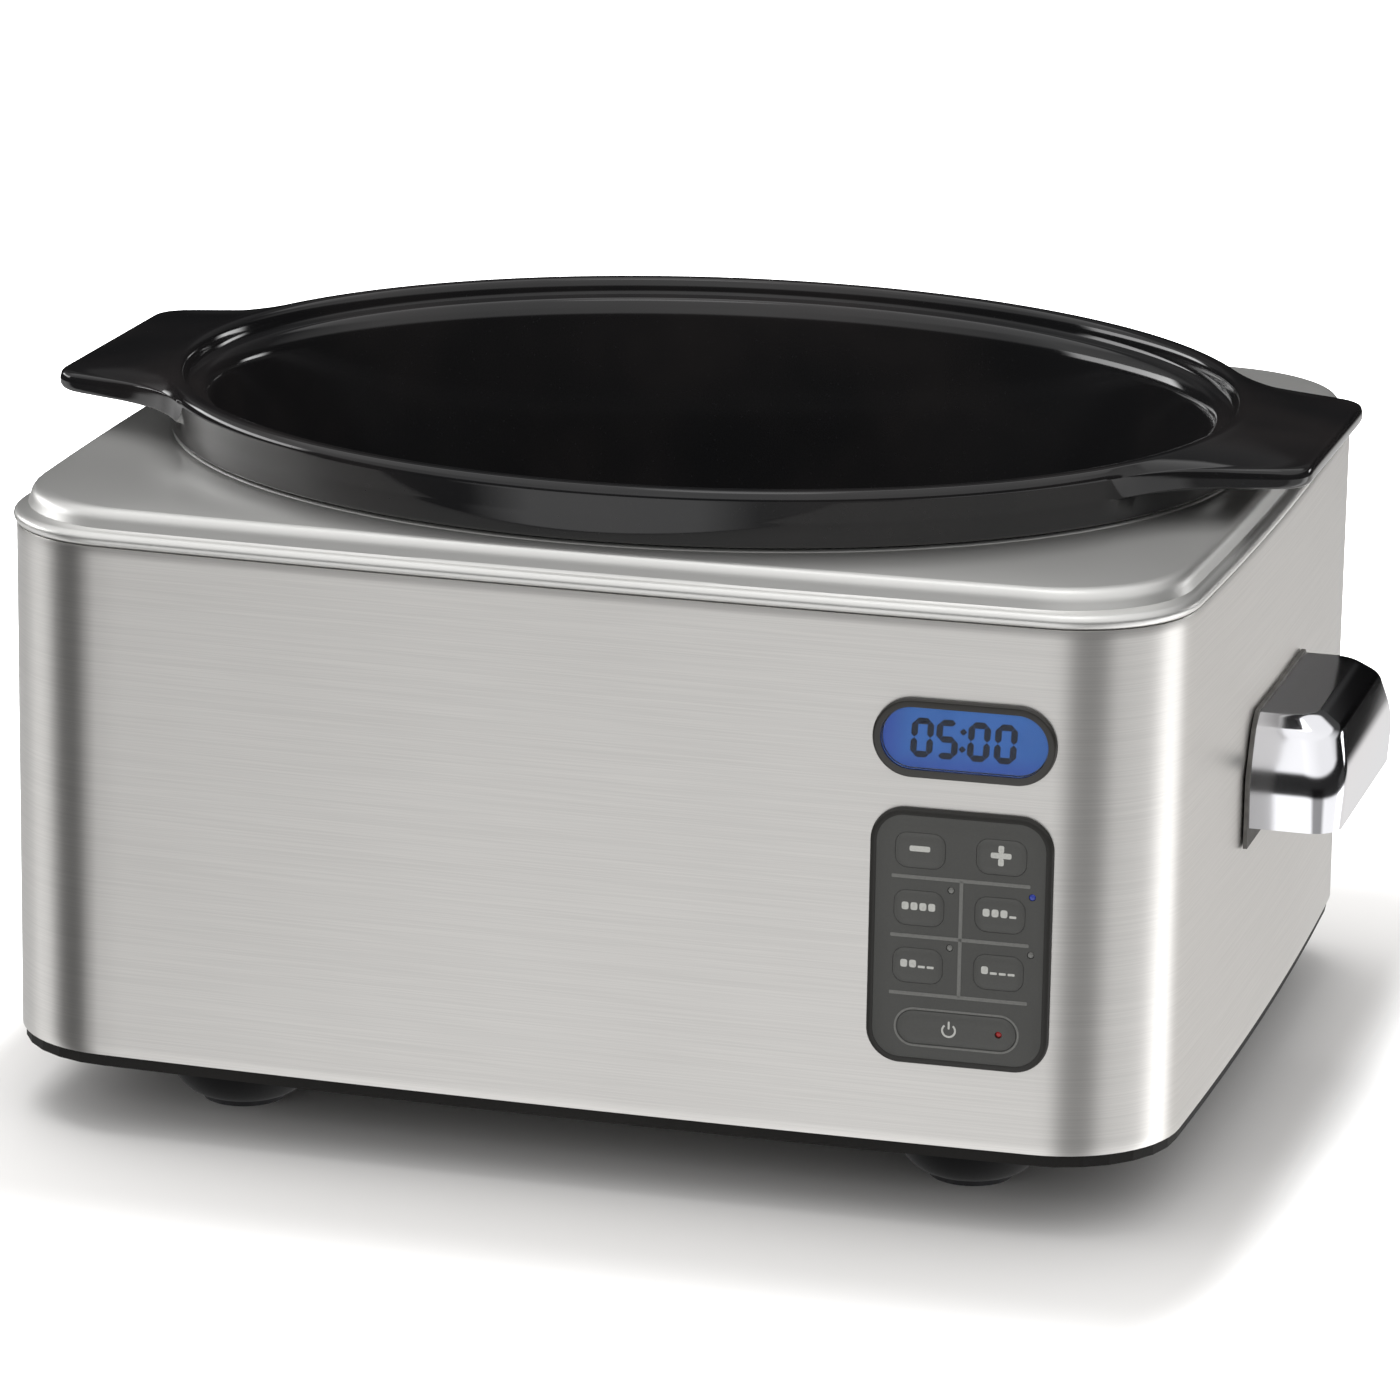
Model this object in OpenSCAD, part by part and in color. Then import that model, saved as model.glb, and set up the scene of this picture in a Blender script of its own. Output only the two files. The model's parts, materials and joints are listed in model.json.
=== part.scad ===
// Countertop slow cooker: a steel housing around a lift-out oval stoneware crock.
// Millimetres, +Z up, front face towards -Y, origin on the table below the middle.

/* [Housing] */
// Width of the steel wrap at its corners
body_w = 345; // [336:1:370]
// Depth of the steel wrap at its corners
body_d = 298; // [294:1:320]
// Height of the steel wrap
wrap_h = 151; // [144:1:170]
// Corner radius of the wrap
corner_r = 36; // [30:1:42]
// How far the middle of each face bows outwards
face_bow = 2.2; // [0.5:0.1:4]
// Thickness of the wrap's sheet
sheet = 0.8; // [0.6:0.1:1.2]

/* [Top cover] */
// Height of the cover above the wrap
cover_h = 10.3; // [9:0.1:13]
// Thickness of the cover's sheet
cover_sheet = 1; // [0.8:0.1:1.2]
// Depth of the cover's skirt inside the wrap
skirt_h = 8; // [5:1:12]
// Corner radius of the raised shoulder
shoulder_r = 38; // [34:1:44]
// Distance from a side of the wrap to the oval opening
opening_side = 15.5; // [14:0.5:22]
// Distance from the front or the rear of the wrap to the oval opening
opening_front = 13; // [12:0.5:18]
// Width of the raised hem around the opening
hem_w = 4; // [3:0.5:6]
// Height of the raised hem above the cover
hem_h = 1.3; // [0.8:0.1:2]
// Depth of the lip inside the opening
lip_h = 7; // [5:0.5:10]

/* [Crock] */
// Height of the crock's foot above the wrap's lower edge
crock_low = 26.1; // [25:0.5:36]
// Height of the rim above the cover
rim_h = 17.8; // [15:0.2:22]
// How far the rim reaches over the cover, past the opening's edge
rim_over = 7; // [6:0.5:9]
// Gap between the crock's neck and the opening
neck_gap = 4; // [3:0.5:6]
// How much the crock's wall leans in towards its foot
crock_taper = 19; // [12:1:24]
// Thickness of the crock's wall
crock_wall = 6.5; // [5:0.5:8]
// Thickness of the crock's floor
crock_floor = 8; // [6:0.5:10]
// How far a lifting wing reaches past the side of the wrap
wing_over = 16.8; // [12:0.2:20]
// Width of a wing at its tip
wing_w = 93; // [84:1:100]
// Thickness of a wing at its tip
wing_t = 6; // [5:0.5:7]
// How far a wing's top slopes down from the rim to its tip
wing_drop = 3; // [2.4:0.2:5]

/* [Base and feet] */
// Height of the base pan's underside above the table
foot_h = 20.5; // [16:0.5:26]
// Thickness of the base pan
base_t = 3.5; // [3:0.5:5]
// Height of the base pan's upstand inside the wrap
upstand_h = 12; // [8:1:16]
// Radius of a foot where it meets the base pan
foot_r = 24; // [20:0.5:28]
// Radius of a foot's underside
sole_r = 12.5; // [10:0.5:15]
// Thickness of a foot's rubber pad
pad_t = 1.5; // [1:0.5:3]
// Distance from a side of the wrap to a foot's centre
foot_inset_x = 62.5; // [52:0.5:75]
// Distance from the front or rear of the wrap to a foot's centre
foot_inset_y = 47; // [40:0.5:58]

/* [Handles] */
// Length of a handle along the side
handle_l = 92; // [86:1:105]
// Height of a handle
handle_h = 32; // [28:1:38]
// How far a handle stands out from its gasket
handle_out = 26.9; // [25:0.1:33]
// Wall of the hollow handle
handle_wall = 2.5; // [2:0.1:3]
// Height of a handle's lower edge above the wrap's lower edge
handle_low = 69; // [58:1:80]
// Thickness of the gasket behind a handle
gasket_t = 1.2; // [0.8:0.1:2]

/* [Control panel] */
// Distance from the middle of the front to the panel's centre line
panel_x = 116; // [106:0.5:116]
// Width of the keypad and of the display
panel_w = 51.6; // [50:0.2:53]
// Height of the keypad
keypad_h = 73.8; // [72:0.2:76]
// Height of the keypad's lower edge above the wrap's lower edge
keypad_low = 23.8; // [20:0.2:28]
// Height of the display's bezel
display_h = 22.4; // [21:0.2:24]
// Gap between the keypad and the display
display_gap = 8.8; // [7:0.2:11]
// How far the keypad and the bezel stand out of the front
panel_proud = 1.6; // [1:0.1:2.4]
// How far a key stands out of the keypad
key_proud = 0.7; // [0.4:0.1:1]
// Travel of a key
key_travel = 0.8; // [0.4:0.1:1]

/* [Hidden] */

// Clearances and resolution
fit = 0.3;
slip = 0.15;
eps = 0.05;
corner_n = 7;
long_n = 9;
short_n = 7;
crock_n = 80;
oval_n = 48;
grip_n = 4;
$fn = 48;

// Housing levels
half_w = body_w / 2;
half_d = body_d / 2;
flat_x = half_w - corner_r;
flat_y = half_d - corner_r;
wrap_z = foot_h + base_t;
wrap_top = wrap_z + wrap_h;
plate_z = wrap_top + cover_h;
oval_a = half_w - opening_side;
oval_b = half_d - opening_front;

// Crock levels, as offsets from the opening's oval
rim_z = plate_z + rim_h;
crock_z = wrap_z + crock_low;
neck_e = -neck_gap;
heel_e = neck_e - crock_taper;
band_z = plate_z + hem_h + fit;
wing_tip = half_w + wing_over;
wing_top = rim_z - wing_drop;
wing_n = 7;
wing_round = 8;
wing_knee = 24;
wing_blend = 18;
crown_in = 1.6;
crown_z = rim_z - 0.2;

// Heating pan
pan_t = 1.2;
pan_floor = crock_z - 2.4;
pan_under = pan_floor - pan_t;
pan_rim = plate_z - lip_h;
pan_top_e = neck_e + 1.8;
pan_low_e = heel_e + 3;
pan_flange = 5;
heater_t = 2;
heater_low = 10.3;
heater_h = 40;
tab_angles = [62, 69];
tab_w = 5;
tab_t = 1;
tab_l = 8;
wool_t = 8;
wool_low = 8.3;
wool_top = wrap_top - skirt_h - 4;

// Posts that carry the pan on the base
post_x = 85;
post_y = 55;
post_r = 6;
stud_r = 3;
shelf_z = wrap_z + 14;
shelf_t = 0.6;
screw_r = 2;
head_r = 4;
head_h = 1.6;

// Feet and handles
foot_x = half_w - foot_inset_x;
foot_y = half_d - foot_inset_y;
side_x = half_w + face_bow;
gasket_x = side_x + eps;
handle_x = gasket_x + gasket_t;
handle_z = wrap_z + handle_low;
handle_top = handle_z + handle_h;
handle_screw_y = handle_l / 2 - 13;
handle_screw_z = handle_z + handle_h / 2;
handle_boss_r = 5;
handle_boss_l = 11;

// Control panel: local y is 0 on the steel, positive into the housing
panel_y = -(half_d + face_bow * (1 - pow(panel_x / flat_x, 2)));
panel_tilt = atan(2 * face_bow * panel_x / pow(flat_x, 2));
panel_r = 9.8;
flange_lap = 2;
keypad_low_z = wrap_z + keypad_low;
keypad_z = keypad_low_z + keypad_h / 2;
display_z = keypad_low_z + keypad_h + display_gap + display_h / 2;
guide_y = 3;
window_w = panel_w - 4.6;
window_h = display_h - 4.6;
window_in = 0.7;
window_t = 1.2;
glass_y = 0.9;
glass_t = 2.1;
backlight_t = 4;
key_dx = 11.4;
key_w = 14;
key_h = 10;
key_r = 3.4;
power_w = 33.6;
power_h = 9.5;
key_flange_y = guide_y + fit;
key_flange_t = 1;
key_stem_r = 1.5;
key_stem_l = 1;
plunger_y = key_flange_y + key_flange_t + key_stem_l + key_travel + slip;
plunger_l = 0.8;
switch_t = 3.4;
switch_w = 6;
board_y = plunger_y + plunger_l + switch_t;
board_t = 1.6;
led_r = 0.9;
led_t = 1.2;

// Places of the keys' centres: name, x, height above the keypad's lower edge, width, height
keys = [
    ["minus", -key_dx, 62, key_w, key_h],
    ["plus", key_dx, 62, key_w, key_h],
    ["high", -key_dx, 45.4, key_w, key_h],
    ["low", key_dx, 45.4, key_w, key_h],
    ["simmer", -key_dx, 28.8, key_w, key_h],
    ["warm", key_dx, 28.8, key_w, key_h],
    ["power", 0, 11, power_w, power_h]
];
power_key = 6;
led_dx = 8.9;
led_dz = 5.9;
power_led_x = 12;
// Indicators: one beside each heat key and one that shows through the power key
leds = concat(
    [for (k = [2:5]) [keys[k][1] + led_dx, keys[k][2] + led_dz]],
    [[power_led_x, keys[power_key][2]]]
);

// Control housing, a tray behind the base pan's upstand
upstand_t = 2.5;
tray_y0 = sheet + upstand_t + 2 * fit;
tray_y1 = board_y + board_t + 7;
tray_t = 2;
tray_w = panel_w + 10;
tray_low = keypad_low_z - 5;
tray_high = display_z + display_h / 2 + 5;
tray_z = (tray_low + tray_high) / 2;
tray_h = tray_high - tray_low;
board_w = tray_w - 2 * tray_t - 1;
board_h = tray_h - 2 * tray_t - 1;
board_hole_x = board_w / 2 - 4;
board_hole_z = board_h / 2 - 4;

// Power board in the rear right corner
power_x = half_w - 54.5;
power_y = half_d - 45;
power_l = 72;
power_d = 46;
power_z = wrap_z + 8;
power_top = power_z + board_t;
gland_x = power_x - 30;
gland_z = wrap_z + 28;
gland_r = 7;
gland_bore = 3.7;
gland_flange_r = 10;
gland_out = 1.8;
gland_in = 12;
gland_y = half_d + face_bow * (1 - pow(gland_x / flat_x, 2));
lead_r = 1.2;
terminal_h = 12;
core_size = [30, 18, 25];
coil_size = [20, 26, 17];

steel = "#c1c0bd";
cover_steel = "#a9a8a6";
black = "#1c1c1e";
glaze = "#111213";
chrome = "#d9d9de";
keypad_grey = "#4a4a48";
board_green = "#1f5c3a";
zinc = "#9fa3a6";

// ---------- outlines ----------

// Fractions of n points between -1 and 1, ends left out
function between(n) = [for (k = [1:n]) -1 + 2 * k / (n + 1)];

// Quarter round of radius r about [x, y], starting at angle t0
function quarter(x, y, r, t0) =
    [for (k = [0:corner_n]) let (t = t0 + 90 * k / corner_n) [x + r * cos(t), y + r * sin(t)]];

// Rounded rectangle whose four sides bow outwards
function bowed(a, b, r, bow) = concat(
    quarter(a - r, r - b, r, -90),
    [for (u = between(short_n)) [a + bow * (1 - u * u), u * (b - r)]],
    quarter(a - r, b - r, r, 0),
    [for (u = between(long_n)) [-u * (a - r), b + bow * (1 - u * u)]],
    quarter(r - a, b - r, r, 90),
    [for (u = between(short_n)) [-a - bow * (1 - u * u), -u * (b - r)]],
    quarter(r - a, r - b, r, 180),
    [for (u = between(long_n)) [u * (a - r), -b - bow * (1 - u * u)]]
);

// The wrap's outline, moved in by inset
function wrap_outline(inset) =
    bowed(half_w - inset, half_d - inset, corner_r - inset, face_bow);

// Places a flat outline at height z
function at_height(outline, z) = [for (p = outline) [p[0], p[1], z]];

// Oval ring, e outside the opening, with a point beside each point of the wrap's outline
function matched_oval(e, z) = [
    for (p = wrap_outline(0))
        let (t = atan2(oval_a * p[1], oval_b * p[0]))
        [(oval_a + e) * cos(t), (oval_b + e) * sin(t), z]
];

// Oval ring of evenly turned points, e outside the opening
function oval_ring(e, z) =
    [for (i = [0:oval_n - 1]) let (t = 360 * i / oval_n)
        [(oval_a + e) * cos(t), (oval_b + e) * sin(t), z]];

// Offset of the pan's inner wall at height z
function pan_e(z) = pan_low_e + (pan_top_e - pan_low_e) * (z - pan_floor) / (pan_rim - pan_floor);

function flatten(rings) = [for (ring = rings) for (p = ring) p];

// Skin between stacked rings of equal length, capped at both ends or joined end to end
module loft(rings, joined = false) {
    n = len(rings[0]);
    m = len(rings);
    bands = joined ? m : m - 1;
    skin = [
        for (j = [0:bands - 1])
            for (i = [0:n - 1])
                let (a = j * n + i, d = j * n + (i + 1) % n)
                let (b = ((j + 1) % m) * n + i, c = ((j + 1) % m) * n + (i + 1) % n)
                for (face = [[a, b, c], [a, c, d]]) face
    ];
    caps = joined ? [] : [[for (i = [0:n - 1]) i], [for (i = [n - 1:-1:0]) (m - 1) * n + i]];
    polyhedron(points = flatten(rings), faces = concat(skin, caps), convexity = 10);
}

// Wall between two outlines, from z0 to z1
module wall(inset, thickness, z0, z1) {
    translate([0, 0, z0])
        linear_extrude(z1 - z0)
            difference() {
                polygon(wrap_outline(inset));
                polygon(wrap_outline(inset + thickness));
            }
}

// Rounded rectangle with true arcs
module rounded(w, h, r) {
    square([w - 2 * r, h], center = true);
    square([w, h - 2 * r], center = true);
    for (x = [-1, 1])
        for (y = [-1, 1])
            translate([x * (w / 2 - r), y * (h / 2 - r)])
                circle(r);
}

// Upright plate in the X-Z plane between y0 and y1
module upright(y0, y1) {
    translate([0, y1, 0])
        rotate([90, 0, 0])
            linear_extrude(y1 - y0)
                children();
}

// Cylinder along +Y from y0 to y1
module rod_y(r, y0, y1) {
    translate([0, y1, 0])
        rotate([90, 0, 0])
            cylinder(r = r, h = y1 - y0);
}

// Cylinder along +X from x0 to x1
module rod_x(r, x0, x1) {
    translate([x0, 0, 0])
        rotate([0, 90, 0])
            cylinder(r = r, h = x1 - x0);
}

// Round wire through a list of points
module wire(points, r) {
    for (k = [0:len(points) - 2])
        hull()
            for (p = [points[k], points[k + 1]])
                translate(p)
                    sphere(r, $fn = 10);
}

module at_panel() {
    translate([panel_x, panel_y, 0])
        rotate([0, 0, panel_tilt])
            children();
}

module at_feet() {
    for (x = [-1, 1])
        for (y = [-1, 1])
            translate([x * foot_x, y * foot_y, 0])
                children();
}

module at_posts() {
    for (x = [-1, 1])
        for (y = [-1, 1])
            translate([x * post_x, y * post_y, 0])
                children();
}

module at_power_board_holes() {
    for (x = [-1, 1])
        for (y = [-1, 1])
            translate([power_x + x * (power_l / 2 - 4), power_y + y * (power_d / 2 - 4), 0])
                children();
}

// ---------- housing ----------

// Opening for the keypad, grown by gap
module keypad_hole(gap) {
    translate([0, keypad_z])
        rounded(panel_w - 2 * flange_lap + 2 * gap, keypad_h - 2 * flange_lap + 2 * gap,
            panel_r - flange_lap + gap);
}

// Opening for the display, grown by gap
module display_hole(gap) {
    h = display_h - 2 * flange_lap + 2 * gap;
    translate([0, display_z])
        rounded(panel_w - 2 * flange_lap + 2 * gap, h, h / 2 - eps);
}

module outer_wrap() {
    color(steel)
        difference() {
            wall(0, sheet, wrap_z, wrap_top);
            at_panel() {
                upright(-corner_r / 4, corner_r / 4) keypad_hole(fit);
                upright(-corner_r / 4, corner_r / 4) display_hole(fit);
            }
            for (y = [-1, 1])
                translate([0, y * handle_screw_y, handle_screw_z])
                    rod_x(screw_r + slip, -half_w - corner_r, half_w + corner_r);
            translate([gland_x, 0, gland_z])
                rod_y(gland_r + slip, half_d - 5, half_d + face_bow + 5);
        }
}

// Cover profile: [inset, height above the wrap] around the outside
cover_outer = [
    [sheet + fit, -skirt_h], [sheet + fit, 0.3], [0.2, 0.3], [-0.5, 0.8], [-0.9, 1.9],
    [-0.6, 3], [0.4, 3.9], [1.5, 4.2]
];
shoulder = [[2.1, 4.8], [2.4, cover_h - 4.3], [3, cover_h - 2.1], [4.1, cover_h - 0.6], [5.8, cover_h]];
hem = [[1, 0], [0.85, 0.55], [0.6, 0.95], [0.33, 0.9], [0.1, 0.35]];

// Corner radius follows the wrap on the bead and the skirt
function bead_ring(inset, dz) = at_height(wrap_outline(inset), wrap_top + dz);
function shoulder_ring(inset, dz) =
    at_height(bowed(half_w - inset, half_d - inset, shoulder_r, face_bow), wrap_top + dz);

module top_cover() {
    t = cover_sheet;
    rings = concat(
        [for (p = cover_outer) bead_ring(p[0], p[1])],
        [for (p = shoulder) shoulder_ring(p[0], p[1])],
        [for (p = hem) matched_oval(p[0] * hem_w, plate_z + p[1] * hem_h)],
        [matched_oval(0, plate_z - 1), matched_oval(0, plate_z - lip_h)],
        [matched_oval(t, plate_z - lip_h), matched_oval(t, plate_z - t - 0.5)],
        [matched_oval(hem_w - 0.5, plate_z - t)],
        [shoulder_ring(5.8, cover_h - t), shoulder_ring(3.3 + t, cover_h - t - 1)],
        [shoulder_ring(2.4 + t, cover_h - t - 4)],
        [bead_ring(sheet + fit + t, 2), bead_ring(sheet + fit + t, -skirt_h)]
    );
    color(cover_steel)
        loft(rings, joined = true);
}

module base_pan() {
    slots = 5;
    slot_w = 4;
    slot_l = 44;
    slot_step = 12;
    color(black)
        difference() {
            union() {
                translate([0, 0, foot_h])
                    linear_extrude(base_t)
                        polygon(wrap_outline(1));
                wall(sheet + fit, upstand_t, wrap_z, wrap_z + upstand_h);
                at_feet()
                    translate([0, 0, wrap_z])
                        cylinder(r = 6, h = 5);
                at_power_board_holes()
                    translate([0, 0, wrap_z])
                        cylinder(r = 4, h = power_z - wrap_z);
            }
            at_feet()
                translate([0, 0, foot_h - 1])
                    cylinder(r = screw_r + slip, h = base_t + 7);
            at_posts() {
                translate([0, 0, foot_h - 1])
                    cylinder(r = screw_r + slip, h = base_t + 2);
                translate([0, 0, foot_h - 1])
                    cylinder(r = head_r + fit, h = 1 + head_h + slip);
            }
            at_power_board_holes()
                translate([0, 0, wrap_z + 1])
                    cylinder(r = 1.5 + slip, h = power_z - wrap_z);
            for (k = [0:slots - 1])
                for (side = [-1, 1])
                    translate([side * 45 - slot_l / 2, (k - (slots - 1) / 2) * slot_step - slot_w / 2,
                        foot_h - 1])
                        cube([slot_l, slot_w, base_t + 2]);
        }
}

// A bowl-shaped foot, hollow for its screw and the pad's plug
module foot(sx, sy) {
    rise = foot_h - pad_t;
    swell = foot_r - sole_r;
    color(black)
        translate([sx * foot_x, sy * foot_y, pad_t])
            rotate_extrude($fn = 64)
                polygon([
                    [screw_r + slip, 6.5], [5, 6.5], [5, 0], [sole_r, 0],
                    [sole_r + 0.34 * swell, 0.1 * rise], [sole_r + 0.64 * swell, 0.29 * rise],
                    [sole_r + 0.86 * swell, 0.54 * rise], [sole_r + 0.97 * swell, 0.8 * rise],
                    [foot_r, rise], [screw_r + slip, rise]
                ]);
}

module foot_pads() {
    color("#2b2b2b")
        at_feet() {
            cylinder(r = sole_r - 0.5, h = pad_t);
            translate([0, 0, pad_t - eps])
                cylinder(r = 5 - slip, h = 2.5);
        }
}

module foot_screws() {
    color(zinc)
        at_feet() {
            translate([0, 0, pad_t + 6.5 - head_h])
                cylinder(r = head_r, h = head_h);
            translate([0, 0, pad_t + 6.5 - eps])
                cylinder(r = screw_r, h = wrap_z + 4 - pad_t - 6.5);
        }
}

// ---------- crock ----------

// Points of half a wing's outline, from the middle of its tip to its blend with the rim
function wing_points(inset) =
    let (
        root_t = 360 * wing_n / crock_n,
        root = [(oval_a + rim_over) * cos(root_t), (oval_b + rim_over) * sin(root_t)],
        knee = [(oval_a + rim_over) * cos(wing_knee), (oval_b + rim_over) * sin(wing_knee)],
        tip = [wing_tip - inset, wing_w / 2 - inset],
        edge = (knee - tip) / norm(knee - tip),
        inward = [0, -1],
        blend = knee - wing_blend * edge
    )
    [
        [tip[0], 0], [tip[0], (tip[1] - wing_round) / 2], tip + wing_round * inward,
        tip + 0.3 * wing_round * (edge + inward), tip + wing_round * edge, blend,
        (blend + 2 * knee + root) / 4
    ];

// Ring of the crock: e outside the opening, with wings where wing_inset is given. A wing's points
// lie the share back of the way along its sloping top, from its edge to the rim's crown.
function crock_ring(e, z, wing_inset = undef, back = 0) =
    let (tips = is_undef(wing_inset) ? [] : wing_points(wing_inset))
    [
        for (i = [0:crock_n - 1])
            let (
                t = 360 * i / crock_n,
                steps = min(i, abs(i - crock_n / 2), crock_n - i),
                sx = cos(t) < 0 ? -1 : 1,
                sy = sin(t) < 0 ? -1 : 1,
                crown_e = rim_over - crown_in,
                crown = [(oval_a + crown_e) * cos(t), (oval_b + crown_e) * sin(t), crown_z],
                edge_z = back > 0 ? wing_top : z
            )
            steps < len(tips)
                ? (1 - back) * [sx * tips[steps][0], sy * tips[steps][1], edge_z] + back * crown
                : [(oval_a + e) * cos(t), (oval_b + e) * sin(t), z]
    ];

module crock() {
    o = rim_over;
    wing_under = wing_top - wing_t;
    heel = heel_e - crock_wall;
    rings = [
        crock_ring(heel_e - 14, crock_z),
        crock_ring(heel_e - 5, crock_z + 1.2),
        crock_ring(heel_e - 1, crock_z + 5),
        crock_ring(heel_e + 0.6, crock_z + 12),
        crock_ring(neck_e - 1, plate_z - 12),
        crock_ring(neck_e, plate_z - 1),
        crock_ring(neck_e + 1, band_z - 0.6),
        crock_ring(neck_e + 3, band_z),
        crock_ring(o - 3.6, band_z),
        crock_ring(o - 2.6, band_z + 1.4),
        crock_ring(o - 1.7, wing_under - 2),
        crock_ring(o - 1.4, wing_under, 2.4),
        crock_ring(o - 1.2, wing_under + 0.8, 0.7),
        crock_ring(o - 1, wing_under + 0.35 * wing_t, 0),
        crock_ring(o - 0.7, wing_under + 0.72 * wing_t, 0),
        crock_ring(o - 0.4, wing_top - 0.6, 0.7),
        crock_ring(o - 0.2, wing_top, 2.2),
        crock_ring(o - 0.2, rim_z - 0.6 * wing_drop, 2.2, 0.35),
        crock_ring(o - 0.6, rim_z - 0.3 * wing_drop, 2.2, 0.7),
        crock_ring(o - crown_in, crown_z),
        crock_ring(o - 3.2, rim_z),
        crock_ring(o - 5.6, rim_z - 0.3),
        crock_ring(o - 6.6, rim_z - 1.6),
        crock_ring(o - 7.2, rim_z - 4.6),
        crock_ring(neck_e - 1.2, rim_z - 5.2),
        crock_ring(neck_e - 2.8, rim_z - 6.6),
        crock_ring(neck_e - 4.2, rim_z - 11),
        crock_ring(neck_e - crock_wall, plate_z - 4),
        crock_ring(heel + 0.6, crock_z + crock_floor + 11),
        crock_ring(heel - 3.4, crock_z + crock_floor + 3.4),
        crock_ring(heel - 12, crock_z + crock_floor)
    ];
    color(glaze)
        loft(rings);
}

// ---------- heating system ----------

module heating_pan() {
    rings = [
        oval_ring(pan_low_e - 4, pan_under),
        oval_ring(pan_low_e + pan_t, pan_under + 4),
        oval_ring(pan_top_e + pan_t, pan_rim - pan_t),
        oval_ring(pan_flange, pan_rim - pan_t),
        oval_ring(pan_flange, pan_rim),
        oval_ring(pan_top_e, pan_rim),
        oval_ring(pan_low_e, pan_floor + 4),
        oval_ring(pan_low_e - 4, pan_floor)
    ];
    color(zinc)
        loft(rings);
}

// Jacket around the pan: gap, thickness and the two heights
module jacket(gap, thickness, z0, z1) {
    e0 = pan_e(z0) + pan_t + gap;
    e1 = pan_e(z1) + pan_t + gap;
    loft([
        oval_ring(e0 + thickness, z0), oval_ring(e1 + thickness, z1), oval_ring(e1, z1),
        oval_ring(e0, z0)
    ], joined = true);
}

module heater_band() {
    color("#8c7b5a")
        jacket(fit, heater_t, pan_floor + heater_low, pan_floor + heater_low + heater_h);
}

module insulation() {
    color("#d8d4c4")
        jacket(heater_t + 2 * fit, wool_t, pan_floor + wool_low, wool_top);
}

// Places the two terminals below the heater band
module at_tabs() {
    z = pan_floor + heater_low;
    e = pan_e(z) + pan_t + fit + heater_t / 2;
    for (t = tab_angles)
        translate([(oval_a + e) * cos(t), (oval_b + e) * sin(t), z])
            rotate([0, 0, t + 90])
                children();
}

module heater_tabs() {
    color("#c9a227")
        at_tabs()
            translate([-tab_w / 2, -tab_t / 2, -tab_l])
                cube([tab_w, tab_t, tab_l]);
}

module reflector() {
    color(zinc)
        translate([0, 0, shelf_z])
            difference() {
                linear_extrude(shelf_t)
                    polygon([for (i = [0:oval_n - 1]) let (t = 360 * i / oval_n)
                        [(oval_a - 32) * cos(t), (oval_b - 36) * sin(t)]]);
                at_posts()
                    translate([0, 0, -1])
                        cylinder(r = stud_r + slip, h = 3);
            }
}

module pan_posts() {
    color(zinc)
        at_posts()
            difference() {
                union() {
                    translate([0, 0, wrap_z])
                        cylinder(r = post_r, h = shelf_z - wrap_z);
                    translate([0, 0, shelf_z - eps])
                        cylinder(r = stud_r, h = pan_under - shelf_z + eps);
                }
                translate([0, 0, wrap_z - 1])
                    cylinder(r = screw_r + slip, h = 11);
            }
}

module base_screws() {
    color(zinc)
        at_posts() {
            translate([0, 0, foot_h + slip])
                cylinder(r = head_r, h = head_h - slip);
            translate([0, 0, foot_h + head_h - eps])
                cylinder(r = screw_r, h = base_t - head_h + 9);
        }
}

// A clip below the pan with two legs and a bridge that holds a small part
module clip(x, y, l, drop) {
    color(zinc)
        translate([x - l / 2, y - 4, 0]) {
            translate([0, 0, pan_under - drop - 1])
                cube([l, 8, 1]);
            for (dx = [0, l - 1])
                translate([dx, 0, pan_under - drop - eps])
                    cube([1, 8, drop + eps]);
        }
}

fuse_y = 30;
fuse_r = 2.2;
module thermal_fuse() {
    color("#e8e8e0")
        translate([0, fuse_y - 6, pan_under - fit - fuse_r])
            rod_y(fuse_r, 0, 12);
}

module fuse_clip() {
    clip(0, fuse_y, 7, 2 * fuse_r + 2 * fit);
}

sensor_r = 2.5;
module temperature_sensor() {
    color("#3a3a3a")
        translate([0, -fuse_y - 5, pan_under - fit - sensor_r])
            rod_y(sensor_r, 0, 10);
}

module sensor_clip() {
    clip(0, -fuse_y, 7.6, 2 * sensor_r + 2 * fit);
}

// ---------- handles ----------

// Quarter round of a handle's corner about [x, y], starting at angle t0
function grip_corner(x, y, c, t0) =
    [for (k = [0:grip_n]) let (t = t0 + 90 * k / grip_n) [x + c * cos(t), y + c * sin(t)]];

// Outline of a handle: half length l, from x0 out to x1, with corner round c
function grip_outline(x0, x1, l, c) = concat(
    [[x0, -l]],
    grip_corner(x1 - c, c - l, c, -90),
    grip_corner(x1 - c, l - c, c, 0),
    [[x0, l]]
);

// Levels of the handle: [height share, reach lost, half length lost, corner round]
grip_levels = [[0, 1.2, 0.5, 9], [0.47, 0, 0, 11], [0.875, 3.3, 6, 11], [1, 9.6, 11, 8]];

// Solid handle shape, moved in by shell on every side and closed at the back plane x0
module grip(x0, shell, drop) {
    hull()
        for (g = grip_levels) {
            dz = g[0] == 0 ? -drop : g[0] == 1 ? -shell - 0.1 : 0;
            translate([0, 0, handle_z + g[0] * handle_h + dz])
                linear_extrude(0.1)
                    polygon(grip_outline(x0, handle_x + handle_out - g[1] - shell,
                        handle_l / 2 - g[2] - shell, g[3]));
        }
}

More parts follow.
